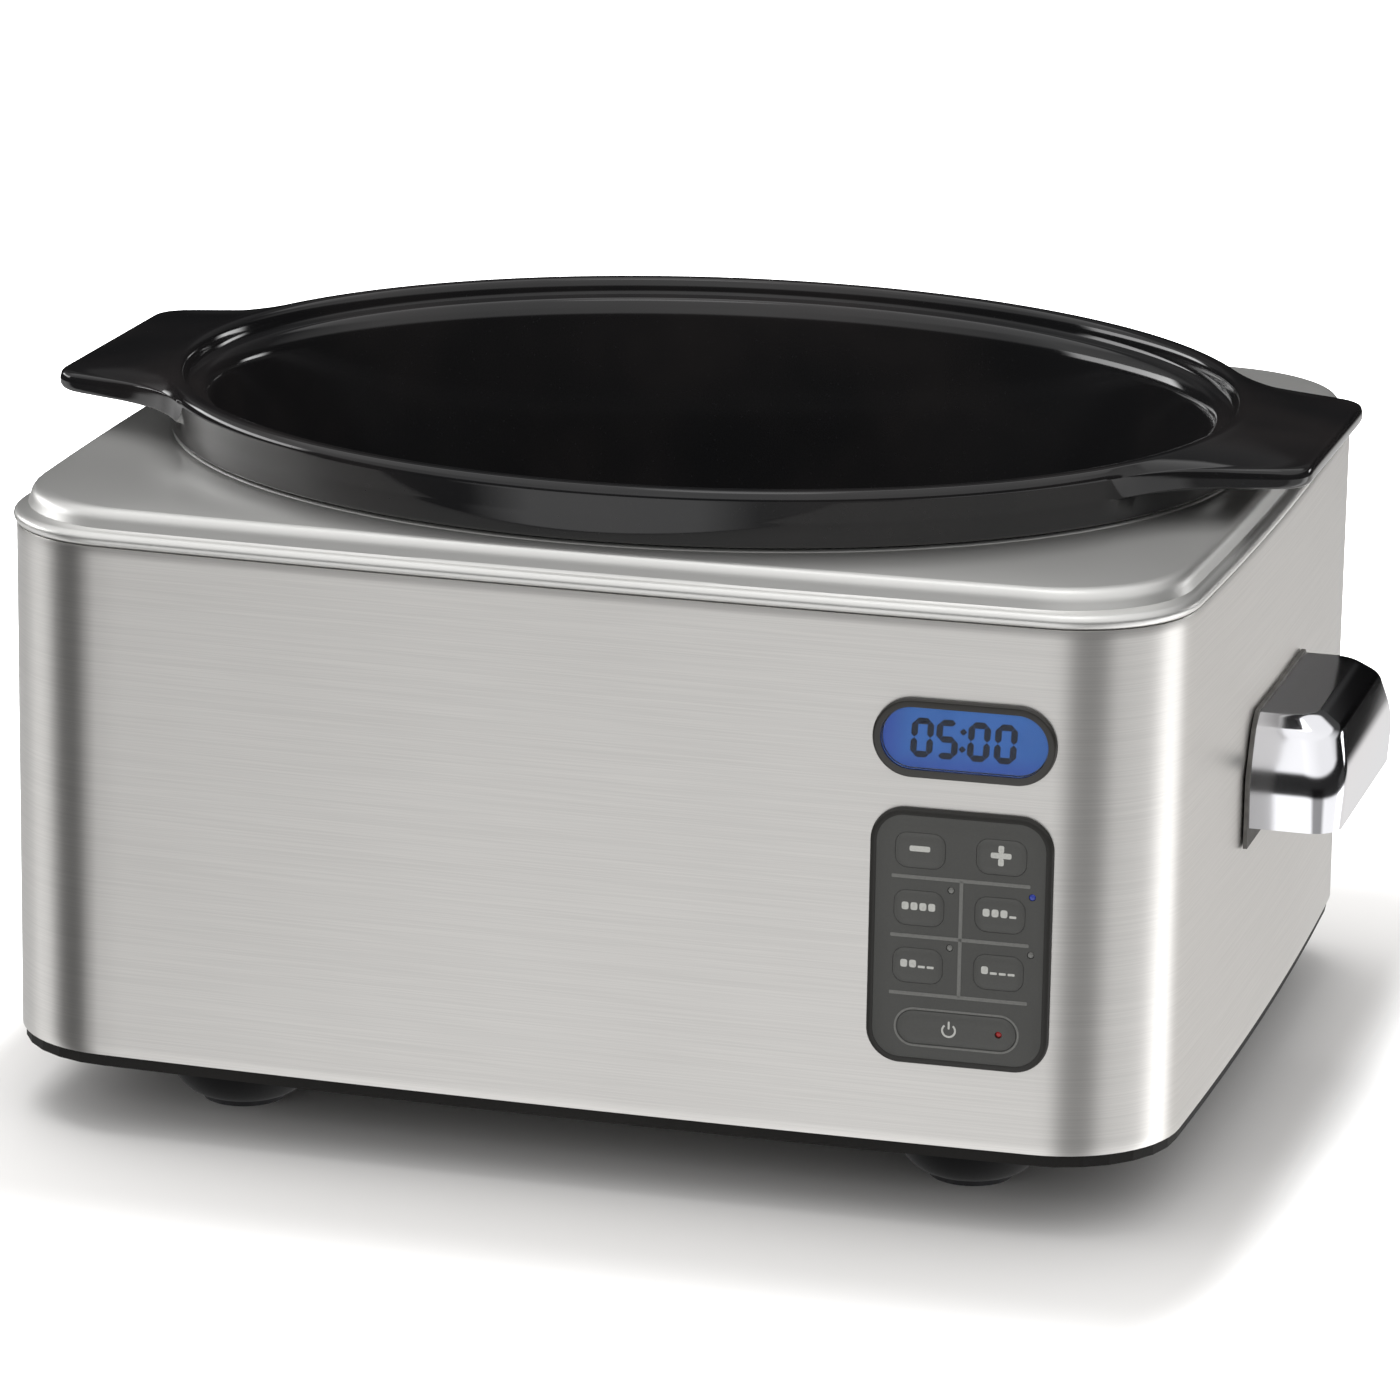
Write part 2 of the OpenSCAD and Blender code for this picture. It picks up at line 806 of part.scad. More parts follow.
module handle(side) {
    color(chrome)
        mirror([side < 0 ? 1 : 0, 0, 0])
            difference() {
                union() {
                    difference() {
                        grip(handle_x, 0, 0);
                        grip(handle_x + handle_wall, handle_wall, 1);
                    }
                    for (y = [-1, 1])
                        translate([0, y * handle_screw_y, handle_screw_z])
                            rod_x(handle_boss_r, handle_x + eps, handle_x + handle_boss_l);
                }
                for (y = [-1, 1])
                    translate([0, y * handle_screw_y, handle_screw_z])
                        rod_x(screw_r + slip, handle_x - 1, handle_x + handle_boss_l - 1);
            }
}

module handle_gasket(side) {
    l = handle_l / 2 + 0.6;
    low = handle_z - 6;
    top = handle_top + 0.6;
    color(black)
        mirror([side < 0 ? 1 : 0, 0, 0])
            difference() {
                translate([gasket_x, 0, 0])
                    rotate([90, 0, 90])
                        linear_extrude(gasket_t)
                            polygon([
                                [-l, low], [l, low], [l, handle_z + 0.47 * handle_h],
                                [l - 6, handle_z + 0.875 * handle_h], [l - 11, top],
                                [11 - l, top], [6 - l, handle_z + 0.875 * handle_h],
                                [-l, handle_z + 0.47 * handle_h]
                            ]);
                for (y = [-1, 1])
                    translate([0, y * handle_screw_y, handle_screw_z])
                        rod_x(screw_r + slip, gasket_x - 1, handle_x + 1);
            }
}

// Wrap surface where a handle's screws pass
screw_side_x = half_w + face_bow * (1 - pow(handle_screw_y / flat_y, 2));
module handle_screws() {
    head_x = screw_side_x - sheet - slip;
    color(zinc)
        for (side = [0, 1])
            mirror([side, 0, 0])
                for (y = [-1, 1])
                    translate([0, y * handle_screw_y, handle_screw_z]) {
                        rod_x(head_r, head_x - head_h, head_x);
                        rod_x(screw_r, head_x - eps, handle_x + handle_boss_l - 2);
                    }
}

// ---------- display and keypad ----------

module display_bezel() {
    color(black)
        at_panel()
            difference() {
                union() {
                    upright(-panel_proud, -eps)
                        translate([0, display_z])
                            rounded(panel_w, display_h, display_h / 2 - eps);
                    upright(-2 * eps, guide_y) display_hole(0);
                }
                upright(-panel_proud - 1, window_in + window_t - panel_proud + fit)
                    translate([0, display_z])
                        rounded(window_w, window_h, window_h / 2 - eps);
                upright(window_in + window_t - panel_proud + fit - eps, guide_y + 1)
                    translate([0, display_z])
                        rounded(window_w - 3, window_h - 3, 2);
            }
}

module display_window() {
    color("#8fb4e8", 0.5)
        at_panel()
            upright(window_in - panel_proud, window_in + window_t - panel_proud)
                translate([0, display_z])
                    rounded(window_w - 2 * slip, window_h - 2 * slip, window_h / 2 - slip - eps);
}

module lcd_glass() {
    color("#3f6fc0")
        at_panel()
            upright(glass_y, glass_y + glass_t)
                translate([0, display_z])
                    rounded(window_w - 3 - 2 * fit, window_h - 3 - 2 * fit, 1.5);
}

module lcd_backlight() {
    color("#dfe8f5")
        at_panel()
            upright(glass_y + glass_t, glass_y + glass_t + backlight_t)
                translate([0, display_z])
                    square([window_w - 3 - 2 * fit, window_h - 3 - 2 * fit - 1], center = true);
}

// Face of key k, grown by gap
module key_face(k, gap) {
    w = keys[k][3] + 2 * gap;
    h = keys[k][4] + 2 * gap;
    r = k == power_key ? h / 2 - eps : key_r + gap;
    translate([keys[k][1], keypad_low_z + keys[k][2]])
        rounded(w, h, r);
}

module keypad_panel() {
    color(keypad_grey)
        at_panel()
            difference() {
                union() {
                    upright(-panel_proud, -eps)
                        translate([0, keypad_z])
                            rounded(panel_w, keypad_h, panel_r);
                    upright(-2 * eps, guide_y) keypad_hole(0);
                }
                for (k = [0:len(keys) - 1])
                    upright(-panel_proud - 1, guide_y + 1) key_face(k, fit);
                for (p = leds)
                    translate([p[0], 0, keypad_low_z + p[1]])
                        rod_y(led_r + slip, -panel_proud - 1, guide_y + 1);
            }
}

// One key: its cap, the flange that keeps it in, and the stem above its switch
module key(k) {
    flange_end = key_flange_y + key_flange_t;
    color(keypad_grey)
        at_panel()
            difference() {
                union() {
                    upright(-panel_proud - key_proud, key_flange_y + eps) key_face(k, 0);
                    upright(key_flange_y, flange_end) key_face(k, fit + 0.7);
                    translate([keys[k][1], 0, keypad_low_z + keys[k][2]])
                        rod_y(key_stem_r, flange_end - eps, flange_end + key_stem_l);
                }
                if (k == power_key)
                    translate([power_led_x, 0, keypad_low_z + keys[k][2]])
                        rod_y(led_r + fit, -panel_proud - 1, flange_end + 1);
            }
}

module light_pipes() {
    color("#c8d8ff", 0.7)
        at_panel()
            for (p = leds)
                translate([p[0], 0, keypad_low_z + p[1]])
                    rod_y(led_r, -panel_proud, board_y - led_t);
}

module indicator_leds() {
    color("#e9e9e9")
        at_panel()
            for (p = leds)
                translate([p[0] - 1, board_y - led_t, keypad_low_z + p[1] - 0.8])
                    cube([2, led_t, 1.6]);
}

module key_switches() {
    color("#2f2f33")
        at_panel()
            for (k = keys)
                translate([k[1], 0, keypad_low_z + k[2]]) {
                    translate([-switch_w / 2, board_y - switch_t, -switch_w / 2])
                        cube([switch_w, switch_t, switch_w]);
                    rod_y(1.7, plunger_y, board_y - switch_t + eps);
                }
}

module at_board_holes() {
    for (x = [-1, 1])
        for (z = [-1, 1])
            translate([x * board_hole_x, 0, tray_z + z * board_hole_z])
                children();
}

module control_board() {
    color(board_green)
        at_panel()
            difference() {
                translate([-board_w / 2, board_y, tray_z - board_h / 2])
                    cube([board_w, board_t, board_h]);
                at_board_holes()
                    rod_y(1.5 + slip, board_y - 1, board_y + board_t + 1);
            }
}

module board_screws() {
    color(zinc)
        at_panel()
            at_board_holes() {
                rod_y(2.8, board_y - 1.6, board_y);
                rod_y(1.5, board_y - eps, board_y + board_t + 5);
            }
}

module control_housing() {
    color("#3b3b3e")
        at_panel()
            difference() {
                union() {
                    difference() {
                        translate([-tray_w / 2, tray_y0, tray_low])
                            cube([tray_w, tray_y1 - tray_y0 + tray_t, tray_h]);
                        translate([-tray_w / 2 + tray_t, tray_y0 - 1, tray_low + tray_t])
                            cube([tray_w - 2 * tray_t, tray_y1 - tray_y0 + 1, tray_h - 2 * tray_t]);
                    }
                    at_board_holes()
                        rod_y(3.2, board_y + board_t, tray_y1 + eps);
                    for (z = [-1, 1])
                        translate([-5, tray_y0, tray_z + z * (tray_h / 2 + 3.9) - 4])
                            cube([10, 6, 8]);
                }
                at_board_holes()
                    rod_y(1.5 + slip, board_y, tray_y1 - 0.5);
                translate([-8, tray_y0 + 2, tray_low - 1])
                    cube([4, 8, tray_t + 2]);
                for (z = [-1, 1])
                    translate([0, 0, tray_z + z * (tray_h / 2 + 4.2)])
                        rod_y(1.5 + slip, tray_y0 + 1, tray_y0 + 7);
            }
}

module housing_screws() {
    color(zinc)
        at_panel()
            for (z = [-1, 1])
                translate([0, 0, tray_z + z * (tray_h / 2 + 4.2)]) {
                    rod_y(1.5, tray_y0 + 1.5, tray_y0 + 6 + eps);
                    rod_y(2.8, tray_y0 + 6, tray_y0 + 7.6);
                }
}

// ---------- power supply ----------

module power_board() {
    color(board_green)
        difference() {
            translate([power_x - power_l / 2, power_y - power_d / 2, power_z])
                cube([power_l, power_d, board_t]);
            at_power_board_holes()
                translate([0, 0, power_z - 1])
                    cylinder(r = 1.5 + slip, h = board_t + 2);
        }
}

module power_board_screws() {
    color(zinc)
        at_power_board_holes() {
            translate([0, 0, power_top])
                cylinder(r = 2.8, h = 1.6);
            translate([0, 0, power_top - board_t - 5])
                cylinder(r = 1.5, h = board_t + 5 + eps);
        }
}

module transformer() {
    color("#c8a24a")
        translate([power_x + 14, power_y + 2, power_top]) {
            translate([-core_size[0] / 2, -core_size[1] / 2, 0])
                cube(core_size);
            translate([-coil_size[0] / 2, -coil_size[1] / 2, (core_size[2] - coil_size[2]) / 2])
                cube(coil_size);
        }
}

module relay() {
    color("#2c4f8f")
        translate([power_x - 21, power_y + 7, power_top])
            cube([18, 12, 15]);
}

module capacitors() {
    color("#20242c") {
        translate([power_x + 20, power_y - 17, power_top])
            cylinder(r = 4.5, h = 18);
        translate([power_x + 8, power_y - 17.5, power_top])
            cylinder(r = 3.5, h = 12);
    }
}

module terminal_block() {
    color("#2e7d4f")
        translate([power_x - 34, power_y - 13, power_top])
            cube([16, 10, terminal_h]);
}

module cord_gland() {
    color(black)
        translate([gland_x, gland_y, gland_z])
            difference() {
                union() {
                    rod_y(gland_r, -gland_in, fit + eps);
                    rod_y(gland_flange_r, fit, gland_out);
                }
                rod_y(gland_bore, -gland_in - 1, gland_out + 1);
            }
}

module gland_nut() {
    color(black)
        translate([gland_x, gland_y, gland_z])
            difference() {
                rod_y(gland_flange_r, -sheet - 5, -sheet - fit);
                rod_y(gland_r + slip, -sheet - 6, 0);
            }
}

module mains_leads() {
    color("#6b4226")
        for (dx = [-1.6, 1.6])
            wire([
                [gland_x + dx, gland_y - gland_in - lead_r - fit, gland_z],
                [gland_x + dx, power_y + 10, gland_z - 2],
                [gland_x + 2.5 * dx, power_y - 6, power_top + 16],
                [gland_x + 2.5 * dx, power_y - 8, power_top + terminal_h + lead_r + slip]
            ], lead_r);
}

module heater_leads() {
    start_z = wool_low - heater_low - lead_r - slip;
    side_y = -(tab_t / 2 + lead_r + slip);
    color("#b8b0a0")
        at_tabs()
            wire([[0, side_y, start_z], [0, side_y, -tab_l - 1], [1, side_y, -tab_l - 3]],
                lead_r);
}

module control_loom() {
    color("#4c4c4c")
        wire([
            [panel_x + 8, panel_y + board_y + 8, tray_low - 8],
            [flat_x + 12, -flat_y, wrap_z + 20],
            [half_w - 14, -flat_y + 24, wrap_z + 17],
            [half_w - 14, flat_y - 50, wrap_z + 24],
            [power_x + power_l / 2 - 7, power_y - power_d / 2 + 9.5, power_top + 2.4]
        ], 2);
}

// ---------- the assembly ----------

outer_wrap();
top_cover();
base_pan();
foot(-1, -1);  // foot_front_left
foot(1, -1);  // foot_front_right
foot(-1, 1);  // foot_rear_left
foot(1, 1);  // foot_rear_right
foot_pads();
foot_screws();
crock();
heating_pan();
pan_posts();
base_screws();
heater_band();
heater_tabs();
insulation();
reflector();
temperature_sensor();
sensor_clip();
thermal_fuse();
fuse_clip();
handle(-1);  // handle_left
handle(1);  // handle_right
handle_gasket(-1);  // handle_gasket_left
handle_gasket(1);  // handle_gasket_right
handle_screws();
display_bezel();
display_window();
lcd_glass();
lcd_backlight();
keypad_panel();
key(0);  // key_minus
key(1);  // key_plus
key(2);  // key_high
key(3);  // key_low
key(4);  // key_simmer
key(5);  // key_warm
key(6);  // key_power
light_pipes();
indicator_leds();
key_switches();
control_board();
board_screws();
control_housing();
housing_screws();
power_board();
power_board_screws();
transformer();
relay();
capacitors();
terminal_block();
cord_gland();
gland_nut();
mains_leads();
heater_leads();
control_loom();
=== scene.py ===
"""Looks of a countertop slow cooker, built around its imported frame.

Sizes are in millimetres and become metres where a mesh is made.
"""

import json
import logging
import math
from dataclasses import dataclass
from enum import Enum
from typing import Iterable, Optional, Sequence, Union

import bmesh
import bpy
from mathutils import Matrix, Vector


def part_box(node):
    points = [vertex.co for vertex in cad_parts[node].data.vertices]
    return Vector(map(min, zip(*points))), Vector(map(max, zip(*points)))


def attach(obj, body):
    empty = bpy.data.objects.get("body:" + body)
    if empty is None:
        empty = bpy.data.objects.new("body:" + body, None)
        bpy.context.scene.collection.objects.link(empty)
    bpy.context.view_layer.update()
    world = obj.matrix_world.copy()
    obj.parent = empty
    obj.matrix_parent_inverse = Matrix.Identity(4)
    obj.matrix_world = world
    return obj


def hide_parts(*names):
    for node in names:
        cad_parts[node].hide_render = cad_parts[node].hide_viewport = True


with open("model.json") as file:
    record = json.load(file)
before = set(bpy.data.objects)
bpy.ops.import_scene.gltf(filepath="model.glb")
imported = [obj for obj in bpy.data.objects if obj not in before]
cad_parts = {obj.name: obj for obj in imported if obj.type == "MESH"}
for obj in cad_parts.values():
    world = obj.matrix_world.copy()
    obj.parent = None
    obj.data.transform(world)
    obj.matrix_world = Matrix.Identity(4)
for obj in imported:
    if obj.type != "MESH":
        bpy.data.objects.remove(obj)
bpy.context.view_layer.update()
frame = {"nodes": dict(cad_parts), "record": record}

MM = 0.001
HOUSING = "housing"
CROCK = "crock"
log = logging.getLogger("slow_cooker")

WELD = 1e-7  # metres between corners that become one
CREASE = 32.0  # degrees from which an edge is sharp

Numbers = Sequence[float]
Colour = tuple[float, float, float, float]
Levels = tuple[tuple[float, ...], ...]
Ring = list[Vector]


# ---------- the frame's own sizes ----------


def node_box(node: str) -> tuple[Vector, Vector]:
    """Find where a CAD node is.

    Args:
        node: Name of the node.

    Returns:
        Its lowest and highest corners, in millimetres.
    """
    low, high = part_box(node)
    return Vector(low) / MM, Vector(high) / MM


def node_slots() -> dict[str, str]:
    """Return the record's material slot of each node."""
    return {part["node"]: part["material_slot"] for part in frame["record"]["subparts"]}


# ---------- shader trees ----------


class Wire:
    """An output socket; Python's operators on it add Math nodes."""

    def __init__(self, recipe: "Recipe", socket: bpy.types.NodeSocket) -> None:
        """Keep the socket and the tree that it belongs to."""
        self.recipe = recipe
        self.socket = socket

    def __add__(self, other: "Value") -> "Wire":
        """Return self + other."""
        return self.recipe.math("ADD", self, other)

    def __radd__(self, other: "Value") -> "Wire":
        """Return other + self."""
        return self.recipe.math("ADD", other, self)

    def __sub__(self, other: "Value") -> "Wire":
        """Return self - other."""
        return self.recipe.math("SUBTRACT", self, other)

    def __rsub__(self, other: "Value") -> "Wire":
        """Return other - self."""
        return self.recipe.math("SUBTRACT", other, self)

    def __mul__(self, other: "Value") -> "Wire":
        """Return self * other."""
        return self.recipe.math("MULTIPLY", self, other)

    def __rmul__(self, other: "Value") -> "Wire":
        """Return other * self."""
        return self.recipe.math("MULTIPLY", other, self)

    def __truediv__(self, other: "Value") -> "Wire":
        """Return self / other."""
        return self.recipe.math("DIVIDE", self, other)

    def __rtruediv__(self, other: "Value") -> "Wire":
        """Return other / self."""
        return self.recipe.math("DIVIDE", other, self)

    def __neg__(self) -> "Wire":
        """Return -self."""
        return self.recipe.math("MULTIPLY", self, -1.0)

    def over(self, low: float, high: float) -> "Wire":
        """Rise smoothly from 0 to 1.

        Args:
            low: Value at which the rise starts.
            high: Value at which it ends.

        Returns:
            The risen value.
        """
        settings = {"interpolation_type": "SMOOTHSTEP"}
        sockets = {"Value": self, "From Min": low, "From Max": high}
        return self.recipe.wire("ShaderNodeMapRange", "Result", settings, sockets)


Value = Union[Wire, float]


class Recipe:
    """The node tree of one material or of the world."""

    def __init__(self, tree: bpy.types.NodeTree) -> None:
        """Start the tree empty."""
        self.tree = tree
        tree.nodes.clear()

    def node(
        self,
        kind: str,
        settings: Optional[dict] = None,
        sockets: Optional[dict] = None,
    ) -> bpy.types.Node:
        """Add one node.

        Args:
            kind: The node's type.
            settings: Its settings, set first; "stops" are a ramp's (place, colour) pairs.
            sockets: Values or wires for its sockets, by name or by place.

        Returns:
            The new node.
        """
        made = self.tree.nodes.new(kind)
        for name, value in (settings or {}).items():
            if name == "stops":
                self.set_stops(made.color_ramp, value)
            else:
                setattr(made, name, value)
        for name, value in (sockets or {}).items():
            if isinstance(value, Wire):
                self.tree.links.new(value.socket, made.inputs[name])
            else:
                made.inputs[name].default_value = value
        return made

    @staticmethod
    def set_stops(ramp: bpy.types.ColorRamp, stops: Sequence[tuple]) -> None:
        """Give a colour ramp its stops.

        Args:
            ramp: The ramp.
            stops: Pairs of place and grey level or colour.
        """
        for k, (place, level) in enumerate(stops):
            stop = ramp.elements[k] if k < 2 else ramp.elements.new(place)
            stop.position = place
            stop.color = level if isinstance(level, tuple) else (level, level, level, 1)

    def wire(
        self,
        kind: str,
        output: Union[str, int],
        settings: Optional[dict] = None,
        sockets: Optional[dict] = None,
    ) -> Wire:
        """Add one node and return one of its outputs.

        Args:
            kind: The node's type.
            output: Name or place of the output.
            settings: The node's settings.
            sockets: Values or wires for its sockets.

        Returns:
            The output's wire.
        """
        return Wire(self, self.node(kind, settings, sockets).outputs[output])

    def end(self, kind: str, shader: bpy.types.Node) -> None:
        """Join a shader to an output node of a kind."""
        self.node(kind, None, {0: Wire(self, shader.outputs[0])})

    def math(self, operation: str, first: Value, second: Value = 0.0) -> Wire:
        """Return one Math node's result."""
        sockets = {0: first, 1: second}
        return self.wire("ShaderNodeMath", 0, {"operation": operation}, sockets)

    def mix(self, mask: Value, first: object, second: object) -> Wire:
        """Mix two colours.

        Args:
            mask: Share of the second colour.
            first: Colour or wire at mask 0.
            second: Colour or wire at mask 1.

        Returns:
            The mixed colour.
        """
        settings = {"data_type": "RGBA", "clamp_factor": True}
        return self.wire("ShaderNodeMix", 2, settings, {0: mask, 6: first, 7: second})

    def place(self) -> Wire:
        """Return the place on the object, in metres of the frame."""
        return self.wire("ShaderNodeTexCoord", "Object")

    def stretched(self, vector: Wire, scale: Numbers) -> Wire:
        """Return a vector multiplied by a scale for each axis."""
        settings = {"operation": "MULTIPLY"}
        return self.wire("ShaderNodeVectorMath", 0, settings, {0: vector, 1: tuple(scale)})

    def noise(self, vector: Wire, scale: float, detail: float = 2, rough: float = 0.5) -> Wire:
        """Return a noise between 0 and 1.

        Args:
            vector: Where it is read.
            scale: Its scale.
            detail: How many finer layers it has.
            rough: Strength of the finer layers.

        Returns:
            The noise's value.
        """
        sockets = {"Vector": vector, "Scale": scale, "Detail": detail, "Roughness": rough}
        return self.wire("ShaderNodeTexNoise", 0, None, sockets)

    def cells(self, vector: Wire, scale: float) -> Wire:
        """Return the distance to the nearest point of a scatter."""
        sockets = {"Vector": vector, "Scale": scale}
        return self.wire("ShaderNodeTexVoronoi", "Distance", None, sockets)

    def axes(self, vector: Wire) -> tuple[Wire, Wire, Wire]:
        """Return the three parts of a vector."""
        split = self.node("ShaderNodeSeparateXYZ", None, {0: vector})
        return tuple(Wire(self, split.outputs[k]) for k in range(3))

    def bump(self, height: Wire, depth: float, strength: float = 1.0) -> Wire:
        """Turn a height into a normal.

        Args:
            height: The height, from 0 to 1.
            depth: Real depth of the relief, in millimetres.
            strength: Share of the relief that shows.

        Returns:
            The bumped normal.
        """
        sockets = {"Height": height, "Distance": depth * MM, "Strength": strength}
        return self.wire("ShaderNodeBump", "Normal", None, sockets)


def rgba(code: str) -> Colour:
    """Turn a colour written as #rrggbb into linear light.

    Args:
        code: The colour.

    Returns:
        Red, green, blue and 1.
    """

    def linear(part: str) -> float:
        """Return one channel's linear value."""
        c = int(part, 16) / 255
        return c / 12.92 if c <= 0.04045 else ((c + 0.055) / 1.055) ** 2.4

    return (linear(code[1:3]), linear(code[3:5]), linear(code[5:7]), 1.0)


def toned(code: str, share: Union[float, Numbers]) -> Colour:
    """Make a colour lighter or darker.

    Args:
        code: The colour, as #rrggbb.
        share: What its light is multiplied by, one for all or one for each channel.

    Returns:
        The new colour.
    """
    shares = (share,) * 3 if isinstance(share, float) else share
    return tuple(s * c for s, c in zip(shares, rgba(code))) + (1,)


@dataclass(frozen=True)
class Finish:
    """A surface finish; each kind fills in the shader."""

    name: str

    def material(self) -> bpy.types.Material:
        """Make the finish's material, once.

        Returns:
            The material.
        """
        made = bpy.data.materials.get(self.name)
        if made:
            return made
        made = bpy.data.materials.new(self.name)
        made.use_nodes = True
        recipe = Recipe(made.node_tree)
        shader = recipe.node("ShaderNodeBsdfPrincipled", None, self.sockets(recipe))
        recipe.end("ShaderNodeOutputMaterial", shader)
        return made

    def sockets(self, recipe: Recipe) -> dict:
        """Work out the shader's sockets.

        Args:
            recipe: The material's node tree.

        Returns:
            Values and wires by the sockets' names.
        """
        raise NotImplementedError

    def dress(self, piece: bpy.types.Object) -> None:
        """Put the finish on a piece, in place of what it had."""
        piece.data.materials.clear()
        piece.data.materials.append(self.material())


class Grain(Enum):
    """Way in which a steel surface is brushed."""

    AROUND = (12.0, 12.0, 1800.0)
    ALONG_X = (12.0, 2400.0, 1500.0)


@dataclass(frozen=True)
class BrushedSteel(Finish):
    """Stainless steel with fine brushing lines."""

    colour: str = "#d5d3d0"
    grain: Grain = Grain.AROUND
    roughness: float = 0.36
    spread: float = 0.55
    contrast: float = 0.05

    def sockets(self, recipe: Recipe) -> dict:
        """Work out the shader's sockets.

        Args:
            recipe: The material's node tree.

        Returns:
            Values and wires by the sockets' names.
        """
        at = recipe.place()
        lines = recipe.noise(recipe.stretched(at, self.grain.value), 1.0, 3, 0.6)
        fine = recipe.noise(recipe.stretched(at, [2 * s for s in self.grain.value]), 1.0, 2, 0.5)
        cloud = recipe.noise(at, 9.0, 3, 0.55)
        tone = lines * 0.55 + fine * 0.45
        dark = toned(self.colour, 1 - self.contrast)
        light = toned(self.colour, 1 + self.contrast)
        return {
            "Base Color": recipe.mix(tone.over(0.3, 0.7), dark, light),
            "Metallic": 1.0,
            "Roughness": self.roughness - 0.05 + tone * 0.04 + cloud * 0.06,
            "Anisotropic": self.spread,
            "Anisotropic Rotation": 0.25,
            "Normal": recipe.bump(tone, 0.006, 0.12),
        }


@dataclass(frozen=True)
class Glaze(Finish):
    """Glossy black glaze on stoneware, with a faint orange-peel surface."""

    colour: str = "#171718"

    def sockets(self, recipe: Recipe) -> dict:
        """Work out the shader's sockets.

        Args:
            recipe: The material's node tree.

        Returns:
            Values and wires by the sockets' names.
        """
        at = recipe.place()
        cloud = recipe.noise(at, 14.0, 3, 0.55)
        peel = recipe.noise(at, 160.0, 2, 0.4)
        specks = recipe.cells(at, 420.0).over(0.16, 0.06)
        warm = toned(self.colour, (1.9, 1.7, 1.6))
        tinted = recipe.mix(cloud.over(0.35, 0.75), rgba(self.colour), warm)
        return {
            "Base Color": recipe.mix(specks * 0.25, tinted, rgba("#2b2c2e")),
            "Roughness": 0.06 + cloud * 0.05 + specks * 0.08,
            "IOR": 1.45,
            "Normal": recipe.bump(peel, 0.04, 0.16),
        }


@dataclass(frozen=True)
class BareStoneware(Finish):
    """Unglazed foot of the crock."""

    colour: str = "#3a3430"

    def sockets(self, recipe: Recipe) -> dict:
        """Work out the shader's sockets.

        Args:
            recipe: The material's node tree.

        Returns:
            Values and wires by the sockets' names.
        """
        grit = recipe.noise(recipe.place(), 900.0, 3, 0.6)
        light = toned(self.colour, 1.7)
        return {
            "Base Color": recipe.mix(grit.over(0.3, 0.7), rgba(self.colour), light),
            "Roughness": 0.75 + grit * 0.2,
            "Normal": recipe.bump(grit, 0.15, 0.7),
        }


@dataclass(frozen=True)
class PolishedMetal(Finish):
    """Plated or polished metal with light smears."""

    colour: str = "#dcdce0"
    roughness: float = 0.06

    def sockets(self, recipe: Recipe) -> dict:
        """Work out the shader's sockets.

        Args:
            recipe: The material's node tree.

        Returns:
            Values and wires by the sockets' names.
        """
        at = recipe.place()
        smear = recipe.noise(recipe.stretched(at, (1, 1, 2.2)), 38.0, 4, 0.6)
        dull = toned(self.colour, 0.88)
        return {
            "Base Color": recipe.mix(smear.over(0.3, 0.8), rgba(self.colour), dull),
            "Metallic": 1.0,
            "Roughness": self.roughness + smear.over(0.35, 0.8) * 0.05,
            "Normal": recipe.bump(smear, 0.02, 0.08),
        }


@dataclass(frozen=True)
class SheetMetal(Finish):
    """Plain zinc, aluminium or brass inside the housing."""

    colour: str = "#a9acae"
    roughness: float = 0.42
    scale: float = 60.0

    def sockets(self, recipe: Recipe) -> dict:
        """Work out the shader's sockets.

        Args:
            recipe: The material's node tree.

        Returns:
            Values and wires by the sockets' names.
        """
        at = recipe.place()
        spangle = recipe.noise(at, self.scale, 4, 0.62)
        scratch = recipe.noise(recipe.stretched(at, (30, 900, 900)), 1.0, 2, 0.5)
        dark = toned(self.colour, 0.72)
        return {
            "Base Color": recipe.mix(spangle.over(0.3, 0.7), dark, rgba(self.colour)),
            "Metallic": 1.0,
            "Roughness": self.roughness + spangle * 0.15,
            "Normal": recipe.bump(scratch, 0.02, 0.25),
        }


@dataclass(frozen=True)
class MouldedPlastic(Finish):
    """Moulded plastic with a fine spark-eroded texture."""

    colour: str = "#1d1d1f"
    roughness: float = 0.45
    relief: float = 0.03
    lift: float = 1.45
    gloss: float = 0.5

    def sockets(self, recipe: Recipe) -> dict:
        """Work out the shader's sockets.

        Args:
            recipe: The material's node tree.

        Returns:
            Values and wires by the sockets' names.
        """
        at = recipe.place()
        texture = recipe.noise(at, 1600.0, 2, 0.5)
        cloud = recipe.noise(at, 22.0, 3, 0.5)
        light = toned(self.colour, self.lift)
        tone = texture * 0.45 + cloud * 0.55
        return {
            "Base Color": recipe.mix(tone.over(0.3, 0.72), rgba(self.colour), light),
            "Roughness": self.roughness - 0.05 + texture * 0.12,
            "Specular IOR Level": self.gloss,
            "Normal": recipe.bump(texture, self.relief, 0.6),
        }


@dataclass(frozen=True)
class SoftRubber(Finish):
    """Matt rubber with a dusty bloom."""

    colour: str = "#232325"

    def sockets(self, recipe: Recipe) -> dict:
        """Work out the shader's sockets.

        Args:
            recipe: The material's node tree.

        Returns:
            Values and wires by the sockets' names.
        """
        at = recipe.place()
        bloom = recipe.noise(at, 120.0, 4, 0.6)
        pores = recipe.noise(at, 2200.0, 2, 0.5)
        base = rgba(self.colour)
        dusty = tuple(1.6 * c + 0.004 for c in base[:3]) + (1,)
        return {
            "Base Color": recipe.mix(bloom.over(0.35, 0.75), base, dusty),
            "Roughness": 0.78 + pores * 0.15,
            "Normal": recipe.bump(pores, 0.04, 0.6),
        }


